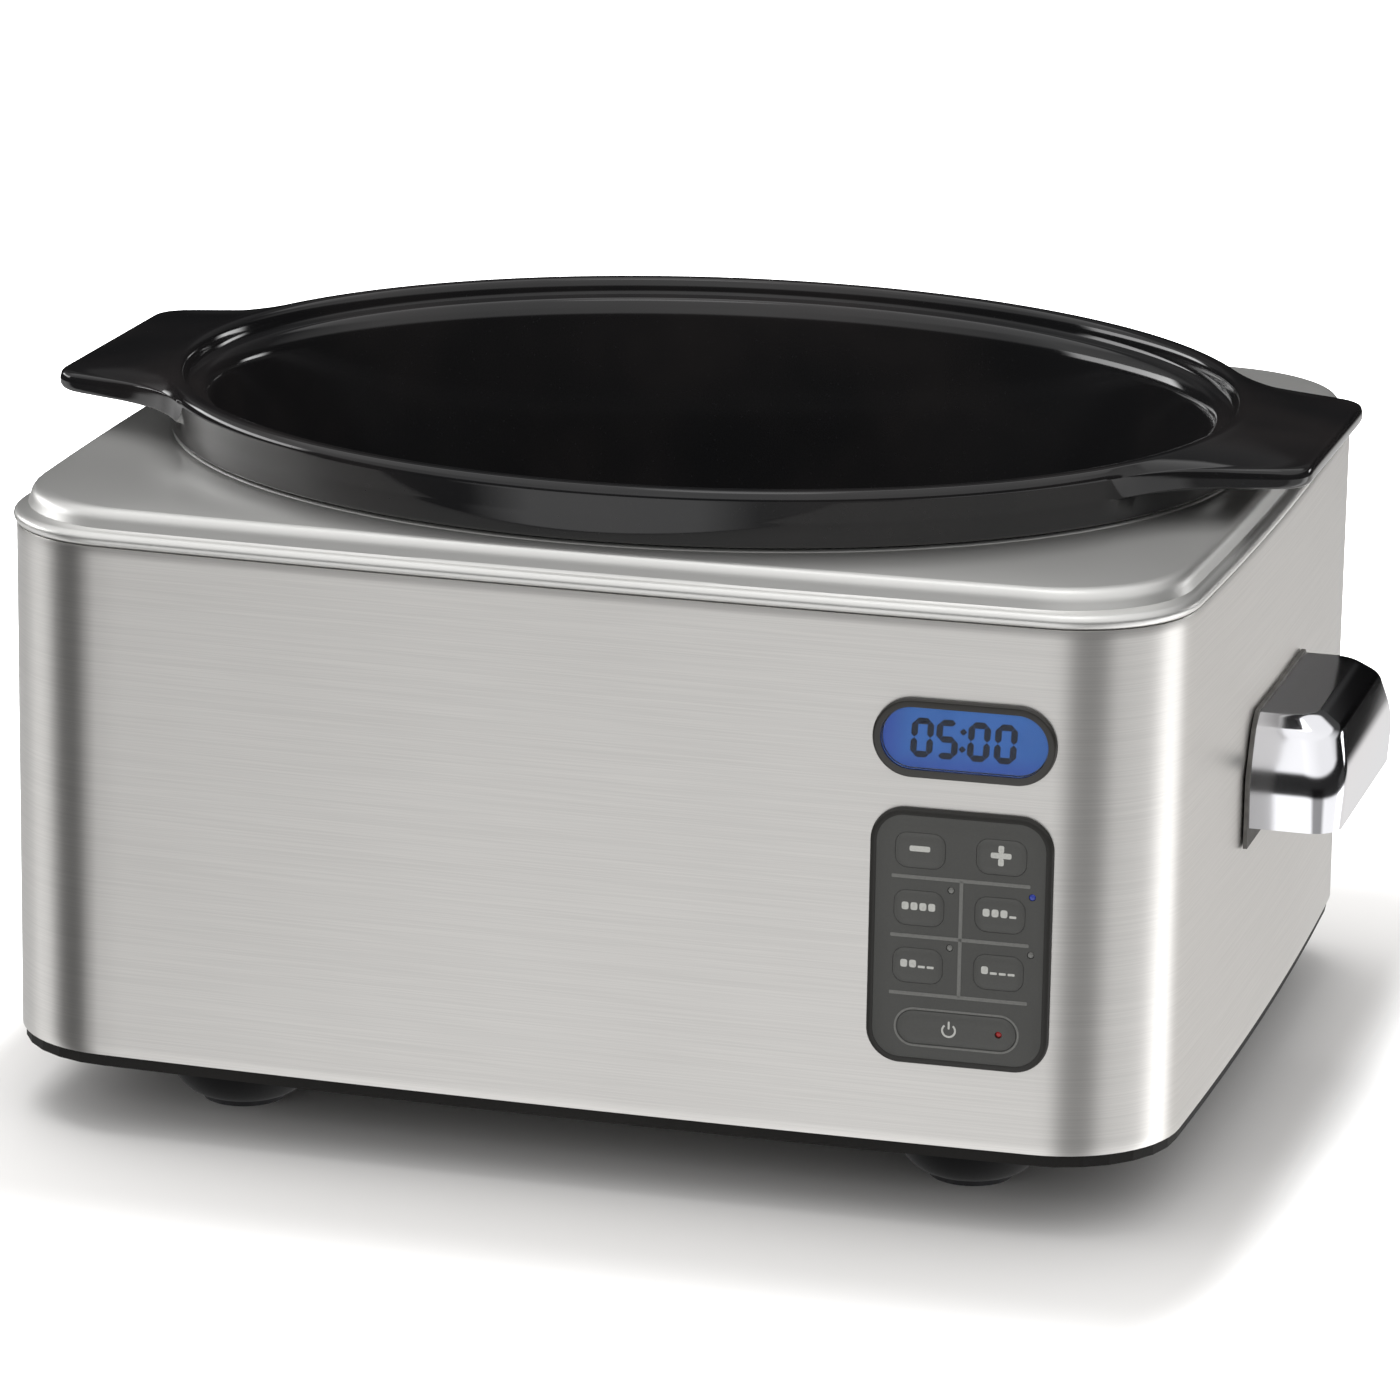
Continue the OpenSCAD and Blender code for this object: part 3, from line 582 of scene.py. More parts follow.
@dataclass(frozen=True)
class ClearPlastic(Finish):
    """Clear moulded window or light pipe."""

    colour: str = "#f4f8ff"
    roughness: float = 0.03

    def sockets(self, recipe: Recipe) -> dict:
        """Work out the shader's sockets.

        Args:
            recipe: The material's node tree.

        Returns:
            Values and wires by the sockets' names.
        """
        at = recipe.place()
        smear = recipe.noise(at, 70.0, 3, 0.6)
        dull = toned(self.colour, 0.94)
        return {
            "Base Color": recipe.mix(smear.over(0.4, 0.8), rgba(self.colour), dull),
            "Roughness": self.roughness + smear * 0.03,
            "IOR": 1.14,
            "Transmission Weight": 1.0,
            "Normal": recipe.bump(smear, 0.01, 0.08),
        }


@dataclass(frozen=True)
class LitDisplay(Finish):
    """Back-lit field of the display, deeper blue towards its lower edge and its left end."""

    middle: tuple[float, float, float] = (0.116, 0.0, 0.1416)
    half: tuple[float, float] = (0.0235, 0.0089)

    def sockets(self, recipe: Recipe) -> dict:
        """Work out the shader's sockets.

        Args:
            recipe: The material's node tree.

        Returns:
            Values and wires by the sockets' names.
        """
        at = recipe.place()
        x, _, z = recipe.axes(at)
        across = (x - self.middle[0]) / self.half[0]
        up = (z - self.middle[2]) / self.half[1]
        cloud = recipe.noise(at, 70.0, 2, 0.5)
        low = up.over(-0.2, -1.0) * 0.75
        left = across.over(-0.62, -1.0)
        edge = (across * across + up * up * 0.35).over(0.75, 1.25)
        shade = recipe.math("MAXIMUM", recipe.math("MAXIMUM", low, left), edge * 0.4)
        blue = recipe.mix(cloud.over(0.3, 0.7), rgba("#24568f"), rgba("#225188"))
        deep = recipe.mix(shade, blue, rgba("#24428d"))
        return {
            "Base Color": recipe.mix(shade, rgba("#1c3566"), rgba("#101f4a")),
            "Roughness": 0.4,
            "Emission Color": deep,
            "Emission Strength": 0.9,
        }


@dataclass(frozen=True)
class Print(Finish):
    """Printed ink, slightly worn."""

    colour: str = "#b9b9b4"

    def sockets(self, recipe: Recipe) -> dict:
        """Work out the shader's sockets.

        Args:
            recipe: The material's node tree.

        Returns:
            Values and wires by the sockets' names.
        """
        wear = recipe.noise(recipe.place(), 1500.0, 3, 0.6)
        thin = toned(self.colour, 0.82)
        return {
            "Base Color": recipe.mix(wear.over(0.45, 0.75), rgba(self.colour), thin),
            "Roughness": 0.5 + wear * 0.1,
        }


@dataclass(frozen=True)
class Indicator(Finish):
    """Moulded lens of an indicator, lit or dark."""

    colour: str = "#3050ff"
    glow: float = 1.0

    def sockets(self, recipe: Recipe) -> dict:
        """Work out the shader's sockets.

        Args:
            recipe: The material's node tree.

        Returns:
            Values and wires by the sockets' names.
        """
        swirl = recipe.noise(recipe.place(), 900.0, 2, 0.5)
        tint = recipe.mix(swirl.over(0.3, 0.7), rgba(self.colour), toned(self.colour, 0.7))
        return {
            "Base Color": tint,
            "Roughness": 0.25,
            "Emission Color": tint,
            "Emission Strength": self.glow,
        }


@dataclass(frozen=True)
class BoardLacquer(Finish):
    """Lacquered circuit board with tracks under the lacquer."""

    colour: str = "#17502f"

    def sockets(self, recipe: Recipe) -> dict:
        """Work out the shader's sockets.

        Args:
            recipe: The material's node tree.

        Returns:
            Values and wires by the sockets' names.
        """
        at = recipe.place()
        tracks = recipe.cells(recipe.stretched(at, (1, 0.3, 1)), 260.0).over(0.42, 0.5)
        weave = recipe.noise(at, 1400.0, 2, 0.5)
        bright = toned(self.colour, (1.6, 1.7, 1.5))
        return {
            "Base Color": recipe.mix(tracks, rgba(self.colour), bright),
            "Roughness": 0.3 + weave * 0.15,
            "Normal": recipe.bump(tracks, 0.03, 0.5),
        }


@dataclass(frozen=True)
class Fibre(Finish):
    """Glass wool, mica or woven sleeve: a fibrous or layered mat."""

    colour: str = "#d8d2bf"
    scale: float = 500.0
    relief: float = 0.6

    def sockets(self, recipe: Recipe) -> dict:
        """Work out the shader's sockets.

        Args:
            recipe: The material's node tree.

        Returns:
            Values and wires by the sockets' names.
        """
        at = recipe.place()
        strands = recipe.noise(recipe.stretched(at, (1, 1, 3.5)), self.scale, 4, 0.7)
        lumps = recipe.noise(at, 45.0, 3, 0.6)
        tone = strands * 0.6 + lumps * 0.4
        dark = toned(self.colour, 0.6)
        return {
            "Base Color": recipe.mix(tone.over(0.3, 0.7), dark, rgba(self.colour)),
            "Roughness": 0.85 + strands * 0.1,
            "Normal": recipe.bump(strands, self.relief, 0.7),
        }


@dataclass(frozen=True)
class Finishes:
    """Every finish of the cooker."""

    wrap: Finish = BrushedSteel("wrap_steel")
    cover: Finish = BrushedSteel("cover_steel", "#d2d0cd", Grain.ALONG_X, roughness=0.19, spread=0.3)
    glaze: Finish = Glaze("black_glaze")
    foot_ring: Finish = BareStoneware("bare_stoneware")
    chrome: Finish = PolishedMetal("handle_chrome")
    gland: Finish = MouldedPlastic("gland_nylon", "#18181a", roughness=0.4)
    base: Finish = MouldedPlastic("base_black", "#1a1918", roughness=0.6, gloss=0.15)
    feet: Finish = MouldedPlastic("foot_black", "#070708", 0.6, relief=0.02, lift=1.3, gloss=0.1)
    bezel: Finish = MouldedPlastic("bezel_black", "#24221f", 0.3, relief=0.01, lift=1.25)
    keypad: Finish = MouldedPlastic("keypad_grey", "#464644", 0.5, relief=0.02, lift=1.12, gloss=0.3)
    keypad_rim: Finish = MouldedPlastic("keypad_rim_grey", "#242321", 0.42, relief=0.02, lift=1.2,
                                        gloss=0.3)
    key: Finish = MouldedPlastic("key_grey", "#494947", 0.48, relief=0.02, lift=1.12, gloss=0.3)
    rules: Finish = Print("keypad_rule_ink", "#696966")
    marks: Finish = Print("key_mark_ink", "#b4b4af")
    digits: Finish = Print("display_digits", "#020a1e")
    display: Finish = LitDisplay("display_blue")
    window: Finish = ClearPlastic("window_clear")
    # The dark lens glows faintly though its lamp is off: a painted glow
    lamp_off: Finish = Indicator("indicator_off", "#71716e", glow=0.02)
    lamp_blue: Finish = Indicator("indicator_blue", "#2c3c94", glow=0.2)
    lamp_red: Finish = Indicator("indicator_red", "#982422", glow=0.3)

    def by_slot(self) -> dict[str, Finish]:
        """Say which finish each material slot of the record has.

        Returns:
            Finishes by slot.
        """
        return {
            "brushed_wrap": self.wrap,
            "cover_steel": self.cover,
            "base_plastic": self.base,
            "pad_rubber": SoftRubber("pad_rubber_finish"),
            "zinc_fastener": SheetMetal("zinc_finish", "#a4a8aa", roughness=0.38, scale=90.0),
            "glazed_stoneware": self.glaze,
            "pan_aluminium": SheetMetal("pan_finish", "#b6b8ba", roughness=0.45, scale=35.0),
            "mica_heater": Fibre("mica_finish", "#7d6c4c", scale=260.0, relief=0.2),
            "brass_tab": SheetMetal("brass_finish", "#c49a35", roughness=0.35, scale=80.0),
            "glass_wool": Fibre("wool_finish"),
            "inner_plastic": MouldedPlastic("inner_finish", "#333336", roughness=0.55),
            "handle_chrome": self.chrome,
            "gasket_rubber": SoftRubber("gasket_finish", "#5c5a57"),
            "bezel_plastic": self.bezel,
            "clear_window": self.window,
            "lcd_panel": MouldedPlastic("lcd_finish", "#1a2c55", roughness=0.2, relief=0.005),
            "backlight_plastic": MouldedPlastic("backlight_finish", "#c9d4ea", 0.4, relief=0.01,
                                                lift=1.1),
            "keypad_plastic": self.keypad,
            "key_plastic": self.key,
            "clear_pipe": ClearPlastic("pipe_clear", "#e8eefc", roughness=0.08),
            "circuit_board": BoardLacquer("board_finish"),
            "copper_winding": SheetMetal("winding_finish", "#9a6a2c", roughness=0.4, scale=120.0),
            "lead_sleeve": Fibre("sleeve_finish", "#5a4a3c", scale=1500.0, relief=0.15),
        }


# ---------- meshes ----------


def make_mesh(name: str, points: Iterable[Vector], faces: Sequence[Sequence[int]],
              crease: float = CREASE) -> bpy.types.Object:
    """Make a smooth-shaded object with creases where its faces meet steeply.

    Args:
        name: Name of the piece.
        points: Its corners, in millimetres.
        faces: Corner numbers of each face.
        crease: Angle in degrees from which an edge is sharp.

    Returns:
        The new object.
    """
    mesh = bpy.data.meshes.new(name)
    mesh.from_pydata([p * MM for p in points], [], faces)
    work = bmesh.new()
    work.from_mesh(mesh)
    bmesh.ops.remove_doubles(work, verts=work.verts, dist=WELD)
    bmesh.ops.recalc_face_normals(work, faces=work.faces)
    work.to_mesh(mesh)
    work.free()
    return put_in_scene(name, mesh, crease)


def put_in_scene(name: str, mesh: bpy.types.Mesh, crease: float) -> bpy.types.Object:
    """Shade a mesh, make an object of it and link it to the scene.

    Args:
        name: Name of the object.
        mesh: Its mesh.
        crease: Angle in degrees from which an edge is sharp.

    Returns:
        The new object.
    """
    shade(mesh, crease)
    made = bpy.data.objects.new(name, mesh)
    bpy.context.scene.collection.objects.link(made)
    return made


def shade(mesh: bpy.types.Mesh, crease: float) -> None:
    """Shade a mesh smooth.

    Args:
        mesh: The mesh.
        crease: Angle in degrees from which an edge is sharp.
    """
    mesh.polygons.foreach_set("use_smooth", [True] * len(mesh.polygons))
    mesh.set_sharp_from_angle(angle=math.radians(crease))
    mesh.update()


def loft(name: str, rings: Sequence[Ring], joined: bool = False,
         crease: float = CREASE) -> bpy.types.Object:
    """Skin over rings of equal length.

    Args:
        name: Name of the piece.
        rings: The rings, in order.
        joined: Whether the last ring runs on to the first; if not, both ends are capped.
        crease: Angle in degrees from which an edge is sharp.

    Returns:
        The new object.
    """
    n = len(rings[0])
    m = len(rings)
    faces = [
        [j * n + i, j * n + (i + 1) % n, ((j + 1) % m) * n + (i + 1) % n, ((j + 1) % m) * n + i]
        for j in range(m if joined else m - 1)
        for i in range(n)
    ]
    if not joined:
        faces += [list(range(n)), [(m - 1) * n + i for i in reversed(range(n))]]
    return make_mesh(name, [p for ring in rings for p in ring], faces, crease)


def join(name: str, parts: Sequence[bpy.types.Object],
         crease: float = CREASE) -> bpy.types.Object:
    """Make one object of several.

    Args:
        name: Name of the whole.
        parts: The objects, which are used up.
        crease: Angle in degrees from which an edge is sharp.

    Returns:
        The whole.
    """
    work = bmesh.new()
    for part in parts:
        work.from_mesh(part.data)
        bpy.data.objects.remove(part)
    mesh = bpy.data.meshes.new(name)
    work.to_mesh(mesh)
    work.free()
    return put_in_scene(name, mesh, crease)


def cut(piece: bpy.types.Object, tools: Sequence[bpy.types.Object],
        crease: float = CREASE) -> None:
    """Cut holes through a piece.

    Args:
        piece: What is cut.
        tools: Closed solids to take away, which are used up.
        crease: Angle in degrees from which an edge is sharp.
    """
    for tool in tools:
        step = piece.modifiers.new("hole", "BOOLEAN")
        step.operation = "DIFFERENCE"
        step.solver = "EXACT"
        step.object = tool
    bpy.context.view_layer.update()
    graph = bpy.context.evaluated_depsgraph_get()
    mesh = bpy.data.meshes.new_from_object(piece.evaluated_get(graph))
    piece.modifiers.clear()
    piece.data = mesh
    for tool in tools:
        bpy.data.objects.remove(tool)
    shade(mesh, crease)


def bent(start: Numbers, corner: Numbers, end: Numbers, steps: int) -> list[list[float]]:
    """Draw a curve from start to end that leaves and arrives as the sides of a corner do.

    Args:
        start: First point, in any number of dimensions.
        corner: Where the two sides would meet.
        end: Last point.
        steps: Number of steps.

    Returns:
        The curve's points, both ends with them.
    """
    curve = []
    for k in range(steps + 1):
        t = k / steps
        curve.append([(1 - t) ** 2 * a + 2 * t * (1 - t) * b + t * t * c
                      for a, b, c in zip(start, corner, end)])
    return curve


def eased(points: Sequence[Numbers], reach: Union[float, Numbers],
          steps: int = 4) -> list[list[float]]:
    """Round the inner corners of an open path.

    Args:
        points: The path's corners, in any number of dimensions.
        reach: How far from a corner its round starts, at most half of a side; one for all the
            inner corners or one for each.
        steps: Number of points on each round, less one.

    Returns:
        The rounded path.
    """
    inner = len(points) - 2
    reaches = [reach] * inner if isinstance(reach, (int, float)) else reach
    path = [list(points[0])]
    for before, at, after, far in zip(points, points[1:], points[2:], reaches):
        ends = []
        for other in (before, after):
            side = math.dist(at, other)
            share = min(far / side, 0.5) if side else 0.0
            ends.append([a + (o - a) * share for a, o in zip(at, other)])
        path += bent(ends[0], at, ends[1], steps)
    return path + [list(points[-1])]


def flowing(points: Sequence[Numbers], steps: int = 3) -> list[list[float]]:
    """Draw a smooth path through points.

    Args:
        points: The points, in any number of dimensions.
        steps: Number of steps between two of them.

    Returns:
        The path.
    """
    padded = [points[0], *points, points[-1]]
    path = []
    for a, b, c, d in zip(padded, padded[1:], padded[2:], padded[3:]):
        for k in range(steps):
            t = k / steps
            path.append([
                0.5 * (2 * q + (r - p) * t + (2 * p - 5 * q + 4 * r - s) * t * t
                       + (3 * q - p - 3 * r + s) * t ** 3)
                for p, q, r, s in zip(a, b, c, d)
            ])
    return path + [list(points[-1])]


def arc(x: float, y: float, radius: float, start: float, sweep: float, steps: int) -> list[tuple]:
    """Return points along an arc, angles in degrees."""
    turns = [math.radians(start + sweep * k / steps) for k in range(steps + 1)]
    return [(x + radius * math.cos(t), y + radius * math.sin(t)) for t in turns]


def circle(radius: float, steps: int) -> list[tuple]:
    """Return points round a circle about the middle."""
    return arc(0, 0, radius, 0, 360, steps)[:-1]


def rounded(width: float, height: float, radius: float, steps: int = 10) -> list[tuple]:
    """Draw a rounded rectangle about the middle.

    Args:
        width: Its width.
        height: Its height.
        radius: Its corner radius.
        steps: Number of steps round a corner.

    Returns:
        Its points, counter-clockwise.
    """
    a = width / 2 - radius
    b = height / 2 - radius
    corners = [(a, -b, -90), (a, b, 0), (-a, b, 90), (-a, -b, 180)]
    return [p for x, y, t in corners for p in arc(x, y, radius, t, 90, steps)]


def pill_radius(height: float) -> float:
    """Return the corner radius that makes a pill of a rounded rectangle, a hair under half."""
    return height / 2 - 0.05


@dataclass(frozen=True)
class Plan:
    """Rounded rectangle with bowed sides, seen from above."""

    half_w: float
    half_d: float
    corner: float
    bow: float
    arc_steps: int = 14
    long_steps: int = 40
    short_steps: int = 32

    def outline(self) -> list[tuple[float, float]]:
        """Draw the outline.

        Returns:
            Its points, counter-clockwise from the right end of the front.
        """
        flat_x = self.half_w - self.corner
        flat_y = self.half_d - self.corner
        lean_long = math.degrees(math.atan(2 * self.bow / flat_x))
        lean_short = math.degrees(math.atan(2 * self.bow / flat_y))
        quarter = arc(0, 0, self.corner, -90 + lean_long, 90 - lean_long - lean_short,
                      self.arc_steps)
        front_right = [(flat_x + x, y - flat_y) for x, y in quarter]
        rear_right = [(x, -y) for x, y in reversed(front_right)]
        side = self.bulge(front_right[-1], rear_right[0], self.short_steps)
        rear_left = [(-x, -y) for x, y in front_right]
        back = self.bulge(rear_right[-1], rear_left[0], self.long_steps)
        half = front_right + side + rear_right + back
        return half + [(-x, -y) for x, y in half]

    def bulge(self, start: tuple, end: tuple, steps: int) -> list[tuple]:
        """Bow outwards between two points.

        Args:
            start: First point, left out.
            end: Last point, left out.
            steps: Number of steps between them.

        Returns:
            The points between.
        """
        along = Vector((end[0] - start[0], end[1] - start[1]))
        out = Vector((along.y, -along.x)).normalized()
        middle = (Vector(start) + Vector(end)) / 2
        points = []
        for k in range(1, steps):
            u = 2 * k / steps - 1
            p = middle + along * (u / 2) + out * (self.bow * (1 - u * u))
            points.append((p.x, p.y))
        return points

    def ring(self, z: float) -> Ring:
        """Return the outline at a height."""
        return [Vector((x, y, z)) for x, y in self.outline()]


def finish_piece(piece: bpy.types.Object, body: str, finish: Finish,
                 nodes: Sequence[str] = ()) -> bpy.types.Object:
    """Dress a piece and tie it to the frame.

    Args:
        piece: The piece.
        body: CAD body that it moves with.
        finish: Its finish.
        nodes: CAD nodes that it stands for.

    Returns:
        The piece.
    """
    finish.dress(piece)
    if nodes:
        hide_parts(*nodes)
    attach(piece, body)
    log.info("%s: %d faces on %s", piece.name, len(piece.data.polygons), body)
    return piece


# ---------- housing ----------


@dataclass
class Housing:
    """Steel wrap, top cover, base and feet."""

    finishes: Finishes
    corner_r: float = 36.0
    bow: float = 2.2
    sheet: float = 0.8
    sheet_edge: float = 0.25
    fit: float = 0.3
    cover_sheet: float = 1.0
    cover_h: float = 10.3
    shoulder_r: float = 38.0
    plate_inset: float = 5.8
    opening_side: float = 15.5
    opening_front: float = 13.0
    hem_w: float = 4.0
    hem_h: float = 0.8
    lip_h: float = 7.0
    skirt_h: float = 8.0
    foot_inset: tuple[float, float] = (62.5, 47.0)
    foot_r: float = 24.0
    sole_r: float = 12.5
    well_r: float = 5.0
    well_h: float = 6.5
    foot_steps: int = 64
    pad_t: float = 1.5

    def __post_init__(self) -> None:
        """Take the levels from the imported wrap."""
        low, high = node_box("outer_wrap")
        self.half_w = high.x - self.bow
        self.half_d = high.y - self.bow
        self.wrap_z = low.z
        self.wrap_top = high.z
        self.plate_z = high.z + self.cover_h
        self.oval = (self.half_w - self.opening_side, self.half_d - self.opening_front)

    def plan(self, inset: float, corner: float = 0.0) -> Plan:
        """Return the wrap's plan moved in by inset, with its own corner radius or a given one."""
        radius = corner or self.corner_r - inset
        return Plan(self.half_w - inset, self.half_d - inset, radius, self.bow)

    def front_y(self, x: float) -> float:
        """Return where the front face is at x."""
        flat = self.half_w - self.corner_r
        return -(self.half_d + self.bow * (1 - (x / flat) ** 2))

    def oval_ring(self, out: float, z: float) -> Ring:
        """Draw a ring round the opening.

        Args:
            out: Distance outside the opening.
            z: Its height.

        Returns:
            The ring, matched point by point with the wrap's plan.
        """
        a, b = self.oval
        turns = [math.atan2(a * y, b * x) for x, y in self.plan(0).outline()]
        return [Vector(((a + out) * math.cos(t), (b + out) * math.sin(t), z)) for t in turns]

    def build_wrap(self, holes: Sequence[bpy.types.Object]) -> None:
        """Build the wrap with its rounded edges and cut its openings.

        Args:
            holes: Solids that cut it, which are used up.
        """
        z0, z1, t, round_r = self.wrap_z, self.wrap_top, self.sheet, self.sheet_edge
        section = eased([(0, z0 + 3), (0, z0), (t, z0), (t, z0 + 3)], round_r, 2)
        section += eased([(t, z1 - 3), (t, z1), (0, z1), (0, z1 - 3)], round_r, 2)
        rings = [self.plan(inset).ring(z) for inset, z in section]
        wrap = loft("wrap", rings, joined=True)
        cut(wrap, holes)
        finish_piece(wrap, HOUSING, self.finishes.wrap, ["outer_wrap"])

    def build_cover(self) -> None:
        """Build the cover: skirt, bead, shoulder, plate, hem and lip."""
        z = self.wrap_top
        t = self.cover_sheet
        inner = self.sheet + self.fit
        # Inset from the wrap's outside and height above its top; for the hem, shares of its
        # own width and height
        bead = [(0.2, 0.3), (-0.5, 0.8), (-0.9, 1.9), (-0.6, 3), (0.4, 3.9), (1.5, 4.2)]
        shoulder = [(2.1, 4.8), (2.4, 6), (3, 8.2), (4.1, 9.7), (self.plate_inset, self.cover_h)]
        hem = [(1, 0), (0.85, 0.55), (0.6, 0.95), (0.33, 0.9), (0.1, 0.35), (0, -0.4)]
        rings = [self.plan(inner).ring(z + dz) for dz in (-self.skirt_h, 0.3)]
        rings += [self.plan(i).ring(z + dz) for i, dz in flowing(bead)]
        rings += [self.plan(i, self.shoulder_r).ring(z + dz) for i, dz in flowing(shoulder)]
        rings += [self.oval_ring(self.hem_w * w, self.plate_z + self.hem_h * h)
                  for w, h in flowing(hem)]
        under = self.plate_z - t
        foot = self.plate_z - self.lip_h
        lip = [(0, foot + 0.3), (0.3, foot), (t - 0.3, foot), (t, foot + 0.3), (t, under - 0.5),
               (self.hem_w - 0.5, under)]
        rings += [self.oval_ring(w, level) for w, level in lip]
        ceiling = self.cover_h - t
        inside = [(self.plate_inset, ceiling), (3.3 + t, ceiling - 1), (2.4 + t, ceiling - 4)]
        rings += [self.plan(i, self.shoulder_r).ring(z + dz) for i, dz in inside]
        rings += [self.plan(inner + t).ring(z + dz) for dz in (2, -self.skirt_h)]
        cover = loft("top_cover_shell", rings, joined=True)
        finish_piece(cover, HOUSING, self.finishes.cover, ["top_cover"])

    def foot_profile(self) -> list[list[float]]:
        """Draw a foot's section, starting in the screw's well.

        Returns:
            Pairs of radius and height above the sole.
        """
        top = node_box("base_pan")[0].z - self.pad_t
        swell = self.foot_r - self.sole_r
        side = [(0, 0), (0.34, 0.1), (0.64, 0.29), (0.86, 0.54), (0.97, 0.8), (1, 1)]
        skirt = flowing([(self.sole_r + swell * w, top * h) for w, h in side], 4)
        r = self.well_r
        return [[r, self.well_h], [r, 0.3], [r + 0.3, 0], [self.sole_r - 0.4, 0]] + skirt[1:]

    def build_feet(self) -> None:
        """Build the four turned feet."""
        for name, sx, sy in [("front_left", -1, -1), ("front_right", 1, -1),
                             ("rear_left", -1, 1), ("rear_right", 1, 1)]:
            x0 = sx * (self.half_w - self.foot_inset[0])
            y0 = sy * (self.half_d - self.foot_inset[1])
            rings = [
                [Vector((x0 + x, y0 + y, self.pad_t + h)) for x, y in circle(r, self.foot_steps)]
                for r, h in self.foot_profile()
            ]
            foot = loft(f"foot_{name}_shell", rings, crease=50)
            finish_piece(foot, HOUSING, self.finishes.feet, [f"foot_{name}"])

    def build(self, holes: Sequence[bpy.types.Object]) -> None:
        """Build the whole housing.

        Args:
            holes: Solids that cut the wrap, which are used up.
        """
        self.build_wrap(holes)
        self.build_cover()
        self.build_feet()


# ---------- crock ----------


@dataclass
class CrockPot:
    """Glazed oval pot with a rolled rim and two lifting wings."""

    finishes: Finishes
    housing: Housing
    rim_over: float = 7.0
    neck_gap: float = 4.0
    taper: float = 19.0
    wall: float = 6.5
    floor: float = 8.0
    wing_w: float = 93.0
    wing_t: float = 6.0
    wing_edge: float = 4.0
    wing_drop: float = 3.0
    wing_round: float = 8.0
    wing_blend: float = 18.0
    knee_turn: float = 24.0
    root_turn: float = 31.5
    steps: int = 360
    crown_in: float = 1.6
    crown_drop: float = 0.2
    bare_h: float = 1.0

    def __post_init__(self) -> None:
        """Take the pot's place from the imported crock."""
        low, high = node_box("crock")
        self.z0 = low.z
        self.rim_z = high.z
        self.tip_x = high.x
        self.wing_top = self.rim_z - self.wing_drop
        self.wing_under = self.wing_top - self.wing_t
        self.wing_steps = round(self.steps * self.root_turn / 360)

    def on_oval(self, out: float, turn: float) -> Vector:
        """Find a point on the opening's oval moved outwards.

        Args:
            out: How far the oval is moved.
            turn: Where the point is on it, in degrees.

        Returns:
            The point, seen from above.
        """
        a, b = self.housing.oval
        t = math.radians(turn)
        return Vector(((a + out) * math.cos(t), (b + out) * math.sin(t)))

    def wing_path(self, inset: float) -> list[Vector]:
        """Draw half of a wing's outline.

        Args:
            inset: How far the wing is drawn in.

        Returns:
            Its points, from the middle of the tip to the root.
        """
        knee = self.on_oval(self.rim_over, self.knee_turn)
        root = self.on_oval(self.rim_over, self.root_turn)
        corner = Vector((self.tip_x - inset, self.wing_w / 2 - inset))
        edge = (knee - corner).normalized()
        tip_end = corner - Vector((0, self.wing_round))
        edge_start = corner + edge * self.wing_round
        edge_end = knee - edge * self.wing_blend
        on_tip, on_round, on_blend = 5, 9, 12
        on_edge = self.wing_steps - on_tip - on_round - on_blend
        path = [Vector((tip_end.x, tip_end.y * k / on_tip)) for k in range(on_tip)]
        path += [Vector(p) for p in bent(tip_end, corner, edge_start, on_round)][:-1]
        path += [edge_start.lerp(edge_end, k / on_edge) for k in range(on_edge)]
        return path + [Vector(p) for p in bent(edge_end, knee, root, on_blend)][:-1]

    def ring(self, out: float, z: float, inset: Optional[float] = None,
             back: float = 0.0) -> Ring:
        """Return a ring of the pot.

        Args:
            out: Distance outside the cover's opening.
            z: Its height.
            inset: How far the wings are drawn in, or None where there are none.
            back: How far the wings' points have come along the wings' sloping top, from their
                edge to the rim's crown, as a share.

        Returns:
            The ring.
        """
        wing = [] if inset is None else self.wing_path(inset)
        crown_z = self.rim_z - self.crown_drop
        ring = []
        for i in range(self.steps):
            turn = 360 * i / self.steps
            away = min(i, abs(i - self.steps // 2), self.steps - i)
            point = self.on_oval(out, turn).to_3d()
            point.z = z
            if away < len(wing):
                sx = -1 if 90 < turn < 270 else 1
                sy = -1 if turn > 180 else 1
                edge_z = self.wing_top if back else z
                edge = Vector((sx * wing[away].x, sy * wing[away].y, edge_z))
                crown = self.on_oval(self.rim_over - self.crown_in, turn).to_3d()
                crown.z = crown_z
                point = edge.lerp(crown, back)
            ring.append(point)
        return ring

    def outer_rings(self) -> list[Ring]:
        """Draw the outside.

        Returns:
            Its rings, from the foot to the wings' underside.
        """
        neck = -self.neck_gap
        heel = neck - self.taper
        plate = self.housing.plate_z
        band = plate + self.housing.hem_h + self.housing.fit
        over = self.rim_over
        body = [(heel - 14, self.z0), (heel - 5, self.z0 + 1.2), (heel - 1, self.z0 + 5),
                (heel + 0.6, self.z0 + 12)]
        throat = [(neck - 1, plate - 12), (neck, plate - 1), (neck + 1, band - 0.6),
                  (neck + 3, band)]
        side = [(neck + 4, band), (over - 2.6, band), (over - 1.5, self.wing_under - 0.8)]
        path = flowing(body) + flowing(throat) + eased(side, 1.3, 4)
        return [self.ring(e, z) for e, z in path]

    def wing_rings(self) -> list[Ring]:
        """Draw the wings' edge, rounded above and below, and their top.

        Returns:
            Their rings, from the underside to the rim's crown.
        """
        over, rim = self.rim_over, self.rim_z
        low_in, high_in = 1.4, 0.2
